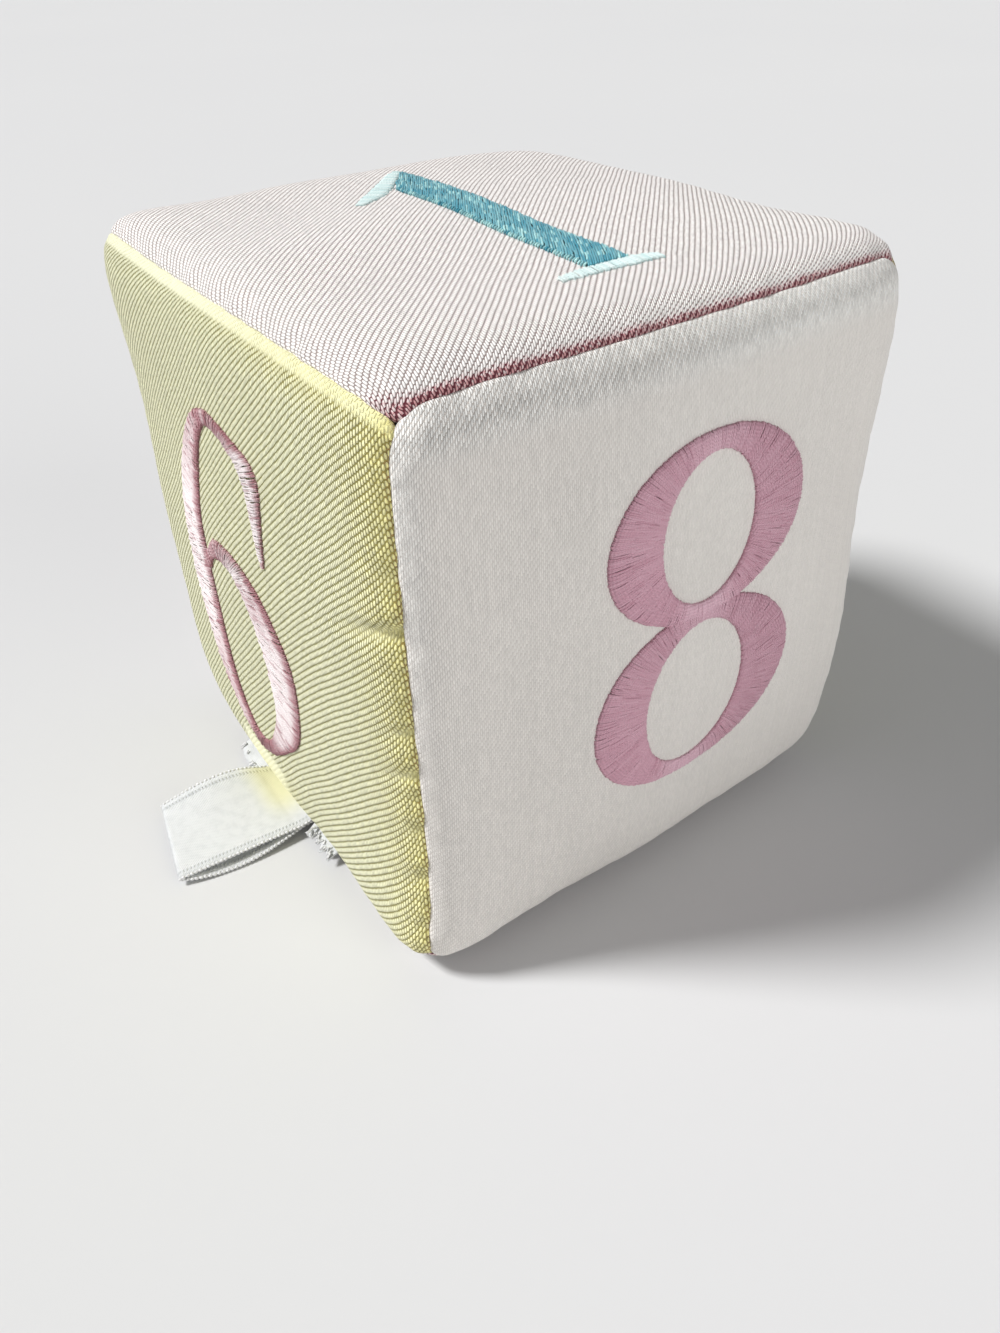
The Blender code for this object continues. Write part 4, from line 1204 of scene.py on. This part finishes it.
def loop_path(w):
    """Side view of the folded ribbon at a place across its width, from tail to tail."""
    aside = w / LABEL_WIDTH
    far = aside + 0.5
    whole = LABEL_REACH - LABEL_SLANT * aside
    depths = np.linspace(RAW, MOUTH + TAIL_OUT, TAIL_PLACES)[:, None]
    above, below = (CENTRE + SEAM_OUT * depths + SEAM_ACROSS * gap + Y * LABEL_CENTRE
                    for gap in TAIL_GAPS)
    reach = LABEL_SHARES
    swing = np.sin(math.pi * reach ** 0.8)
    share = np.clip((reach - OPEN_FROM) / OPEN_OVER, 0, 1)
    opened = np.sin(math.pi * share ** 1.15) ** 0.8
    rise = (UPPER_START + LABEL_TWIST * aside * reach
            + (UPPER_RISE + UPPER_RISE_FAR * far ** 2) * swing)
    apart = LABEL_GAP + (LABEL_OPEN + LABEL_OPEN_FAR * far) * opened
    upper = HINGE + np.stack([-whole * reach, 0 * reach, rise], -1)
    lower = upper - np.stack([0 * reach, LOWER_ASIDE * (1 - far) ** 2 * opened, apart], -1)
    tip = HINGE + np.array([[-whole, 0.0, LABEL_TWIST * aside]])
    points = np.concatenate([above, upper, tip, lower[::-1], below[::-1]])
    points[:, 1] += w + LABEL_SKEW * np.maximum(0, HINGE[0] - points[:, 0]) / whole
    fine = through(points, np.linspace(0, len(points) - 1, FINE_PLACES))
    gone = running(steps_of(fine))
    even = np.linspace(0, gone[-1], LABEL_PLACES)
    path = at_lengths(fine, gone, even)
    path[:, 2] = np.maximum(path[:, 2], LOWEST)
    return path, even


def ribbon_mesh(name, grid, places, side, thickness, index, extra=()):
    """Ribbon over a grid of points; the weave follows places, and side is how far in it is."""
    attributes = (("cloth", places.reshape(-1, 3)), ("side", side.ravel()), *extra)
    ribbon = make_mesh(name, grid.reshape(-1, 3), grid_faces(index), attributes)
    thicken(ribbon, thickness, 0.0)
    ribbon.data.materials.append(LOOKS["ribbon"])
    return ribbon


def thread_mesh(name, parts, tone):
    """White threads from the results of one or more calls of tubes."""
    faces, total = [], 0
    for verts, tube_faces, _ in parts:
        faces += [[v + total for v in face] for face in tube_faces]
        total += len(verts)
    verts, ply = (np.concatenate([part[k] for part in parts]) for k in (0, 2))
    threads = make_mesh(name, verts, faces, (("ply", ply), ("tone", np.full(total, tone))))
    threads.data.materials.append(LOOKS["white_thread"])
    return threads


def build_loop():
    across = np.linspace(-LABEL_WIDTH / 2, LABEL_WIDTH / 2, LABEL_LINES)
    lines = [loop_path(w) for w in across]
    grid, gone = np.array([line[0] for line in lines]), np.array([line[1] for line in lines])
    broadside = np.repeat(across[:, None], LABEL_PLACES, axis=1)
    places = np.stack([gone, broadside, 0 * gone], -1)
    side = LABEL_WIDTH / 2 - np.abs(broadside)
    warm = (1 - smooth(HINGE[0] - grid[..., 0], 1.5, 8.0)) * smooth(broadside, -8.0, 1.0)
    loop = ribbon_mesh("ribbon_loop", grid, places, side, LABEL_THICK, numbered(*gone.shape),
                       (("warm", 0.75 * warm.ravel()),))
    beads = []
    for row, out in ((0, -BEAD_OUT), (-1, BEAD_OUT)):
        even = np.arange(0, gone[row, -1], BEAD_STEP)
        path = at_lengths(grid[row], gone[row], even) + Y * out
        looped = np.abs(np.sin(math.pi * even / BEAD_PITCH)) ** 0.7
        radius = BEAD_RADIUS + BEAD_SWELL * looped
        up = unit(np.cross(np.gradient(path, axis=0), Y))
        beads.append(tubes(path[None], up[None], radius[None], sides=6, flat=0.9))
    edging = thread_mesh("ribbon_loop_edges", beads, 0.75)
    bend_from = CENTRE + SEAM_OUT * (MOUTH - BEND_START) + Y * LABEL_CENTRE
    bend_to = HINGE - X * BEND_END
    for piece in (loop, edging):
        in_metres(bend_from)
        in_metres(bend_to)
        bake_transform(piece)
    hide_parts("loop_label", "label_tails")


# The care label's stub: its depth as cut, its mean depth since it frayed, its loose threads
STUB_THICK = 0.3
STUB_PITCH = 0.35
STUB_LINES = 12
STUB_SIDE = 6.0
STUB_HIDDEN = ((-5.6, -4.3), (16.0, 16.8))
STUB_CLEAN, STUB_CLEAN_DROP, STUB_DROP_FROM = 3.4, 1.2, (20, 26)
STUB_RAGGED, STUB_RAGS, STUB_LUCK = 1.4, 1.3, 0.25
STUB_SET_IN, STUB_CURL = -0.42, 0.10
LOOSE_NEAR, LOOSE_BACK = -5.8, 17.5
LOOSE_THREADS = 46
LOOSE_LOWEST = 0.3
LOOSE_RADII = (0.16, 0.17, 0.17, 0.16, 0.15, 0.13, 0.08)
LONG_THREAD = np.array([-3.4, -0.6, 0.4])
LONG_BOW = np.array([0.0, 0.5, 0.5])
LONG_APART = np.array([0.1, 0.35, -0.05])


def build_stub():
    """The cut label's two visible stretches and its loose threads."""
    luck = np.random.default_rng(31)
    near, back = STUB_CENTRE - STUB_WIDTH / 2, STUB_CENTRE + STUB_WIDTH / 2
    ys = np.arange(near, back + 0.01, STUB_PITCH)
    hidden = smooth(ys, *STUB_HIDDEN[0]) * (1 - smooth(ys, *STUB_HIDDEN[1]))
    clean = STUB_CLEAN - STUB_CLEAN_DROP * smooth(ys, *STUB_DROP_FROM)
    ragged = (STUB_RAGGED + STUB_RAGS * np.abs(np.sin(ys * 1.25 + 0.6))
              + luck.uniform(-STUB_LUCK, STUB_LUCK, len(ys)))
    rise = np.where(ys < 5, ragged, clean) * (1 - hidden) - hidden
    deep = RAW + (MOUTH + rise - RAW) * np.linspace(0, 1, STUB_LINES)[:, None]
    beyond = np.maximum(0, deep - MOUTH)[..., None]
    curl = STUB_SET_IN + STUB_CURL * np.sin(ys * 1.1 + 1.0)[:, None] * beyond
    grid = (CENTRE + SEAM_OUT * np.minimum(deep, MOUTH)[..., None] - X * beyond * 1.1
            - Z * beyond * 0.35 + SEAM_ACROSS * curl)
    grid = grid + broad(grid)
    grid[..., 1] = ys
    grid[..., 2] = np.maximum(grid[..., 2], LOWEST)
    places = np.stack([deep, grid[..., 1], 0 * deep], -1)
    stub = ribbon_mesh("care_label_cloth", grid, places, np.full_like(deep, STUB_SIDE),
                       STUB_THICK, numbered(*deep.shape).T)
    t = np.linspace(0, 1, len(LOOSE_RADII))[:, None]
    paths = []
    for _ in range(LOOSE_THREADS):
        stretch = (near + 0.2, LOOSE_NEAR) if luck.uniform() < 0.8 else (LOOSE_BACK, back)
        y = luck.uniform(*stretch)
        at = np.interp(y, ys, rise)
        begin = (CENTRE + SEAM_OUT * MOUTH - X * (max(at - 0.8, 0.2) * 1.1 + 1.0)
                 - SEAM_ACROSS * 0.45)
        begin[1] = y
        ahead = SEAM_OUT * 0.7 - X * 0.3 + Y * luck.normal(0, 0.45)
        reach = luck.uniform(0.6, 1.7)
        path = begin + ahead * reach * t + luck.normal(0, 0.35, 3) * t ** 2 * 0.5
        path[:, 2] = np.maximum(path[:, 2], LOOSE_LOWEST)
        paths.append(path)
    begin = CENTRE + SEAM_OUT * (MOUTH + 0.2) - SEAM_ACROSS * 0.35 - X
    begin[1] = -7.0
    loose = begin + LONG_THREAD * t + LONG_BOW * np.sin(math.pi * t)
    paths = np.array(paths + [loose, loose + LONG_APART * (0.4 + t)])
    radii = np.tile(LOOSE_RADII, (len(paths), 1))
    tube = tubes(paths, np.broadcast_to(Z, paths.shape), radii, flat=1.0)
    threads = thread_mesh("care_label_threads", [tube], 0.8)
    for piece in (stub, threads):
        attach(piece, "block")
    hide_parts("care_label_stub")


# Pieces inside the cloth

BACKING = 0.4
BACKING_SHARE = 0.88
BACKING_LINES = 45
UNDER_CLOTH = CLOTH + 0.1


def build_backings():
    """Non-woven sheets behind the stitched panels, which follow the finished cloth."""
    shares = np.linspace(-BACKING_SHARE, BACKING_SHARE, BACKING_LINES)
    faces = grid_faces(numbered(BACKING_LINES, BACKING_LINES))
    for panel in PANELS:
        if panel == "bottom":
            continue
        wide, tall, _ = sizes(panel)
        x, y = (part.ravel() for part in np.meshgrid(shares * wide, shares * tall))
        piece = make_mesh(f"backing_{panel}", cloth(panel, x, y, -UNDER_CLOTH), faces)
        thicken(piece, BACKING)
        dress(piece, "backing", f"embroidery_backing_{panel}")


def dress_inside():
    for name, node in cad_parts.items():
        if name == "foam_core":
            node.material_slots[0].material = LOOKS["foam"]
        elif name.startswith("overlock"):
            node.material_slots[0].material = LOOKS["seam_thread"]


# Camera, light and floor

# The camera as fitted to the photo: turn, rise and roll in degrees; distance back from the
# block's centre, and how far right and up of it; focal length and photo height in pixels
CAMERA_ANGLES = (-33.9767, 37.6929, -1.9741)
CAMERA_BACK, CAMERA_RIGHT, CAMERA_UP = 201.3, 1.85, -29.4
FOCAL_PIXELS = 1050.63
PHOTO_HEIGHT = 1333.0
SENSOR = 36.0

# Each light: where it comes from, its strength and how wide it looks, in degrees
LIGHTS = {
    "key": ((-0.90, 0.60, 1.20), 3.46, 12.0),
    "fill": ((0.45, -1.5, 0.5), 0.85, 40.0),
}
ROOM_LIGHT = 0.28
ROOM_SEEN = (0.77, 0.77, 0.77, 1)
FLOOR_HALF = 6
FLOOR_DROP = 0.0001
FLOOR_TONES = ((0.655, 0.655, 0.66), (0.675, 0.675, 0.675))


def build_camera():
    turn, rise, roll = (math.radians(a) for a in CAMERA_ANGLES)
    level = math.cos(rise)
    back = Vector((math.sin(turn) * level, -math.cos(turn) * level, math.sin(rise)))
    right = Vector((0, 0, 1)).cross(back).normalized()
    up = back.cross(right)
    right, up = (math.cos(roll) * right + math.sin(roll) * up,
                 -math.sin(roll) * right + math.cos(roll) * up)
    place = Vector(CENTRE) + back * CAMERA_BACK + right * CAMERA_RIGHT + up * CAMERA_UP
    data = bpy.data.cameras.new("camera")
    data.sensor_fit = "AUTO"
    data.sensor_width = SENSOR
    data.lens = FOCAL_PIXELS * SENSOR / PHOTO_HEIGHT
    data.clip_start = 0.01
    data.clip_end = 20.0
    camera = add_object("camera", data)
    matrix = Matrix((right, up, back)).transposed().to_4x4()
    matrix.translation = place * MM
    camera.matrix_world = matrix
    bpy.context.scene.camera = camera


def add_light(name, towards, irradiance, angle):
    """Distant soft light from a direction; the angle is how wide it looks."""
    data = bpy.data.lights.new(name, "SUN")
    data.energy = irradiance
    data.angle = math.radians(angle)
    light = add_object(name, data)
    light.rotation_euler = Vector(towards).to_track_quat("Z", "Y").to_euler()
    light.location = Vector(towards)


def build_stage():
    mesh = bpy.data.meshes.new("floor")
    corners = [(x * FLOOR_HALF, y * FLOOR_HALF, 0) for x, y in ((-1, -1), (1, -1), (1, 1), (-1, 1))]
    mesh.from_pydata(corners, [], [(0, 1, 2, 3)])
    floor = add_object("floor", mesh)
    floor.location.z = -FLOOR_DROP
    look = Look("floor", 0.9, specular=0.1)
    grain = look.noise(look.object_place(), 3.0)
    floor.data.materials.append(look.finish(look.mix(grain, *FLOOR_TONES)))
    world = bpy.data.worlds.new("studio")
    bpy.context.scene.world = world
    world.use_nodes = True
    tree = world.node_tree
    tree.nodes.clear()
    output = tree.nodes.new("ShaderNodeOutputWorld")
    light = tree.nodes.new("ShaderNodeBackground")
    light.inputs["Color"].default_value = (1, 1, 1, 1)
    light.inputs["Strength"].default_value = ROOM_LIGHT
    seen = tree.nodes.new("ShaderNodeBackground")
    seen.inputs["Color"].default_value = ROOM_SEEN
    rays = tree.nodes.new("ShaderNodeLightPath")
    mix = tree.nodes.new("ShaderNodeMixShader")
    tree.links.new(rays.outputs["Is Camera Ray"], mix.inputs[0])
    tree.links.new(light.outputs[0], mix.inputs[1])
    tree.links.new(seen.outputs[0], mix.inputs[2])
    tree.links.new(mix.outputs[0], output.inputs["Surface"])
    for name, values in LIGHTS.items():
        add_light(name, *values)
    bpy.context.scene.view_settings.view_transform = "Standard"


build_camera()
build_stage()
for panel_name in PANELS:
    build_panel(panel_name)
build_eight()
build_six()
build_one()
build_hidden_numerals()
build_backings()
build_loop()
build_stub()
dress_inside()

bpy.context.view_layer.update()
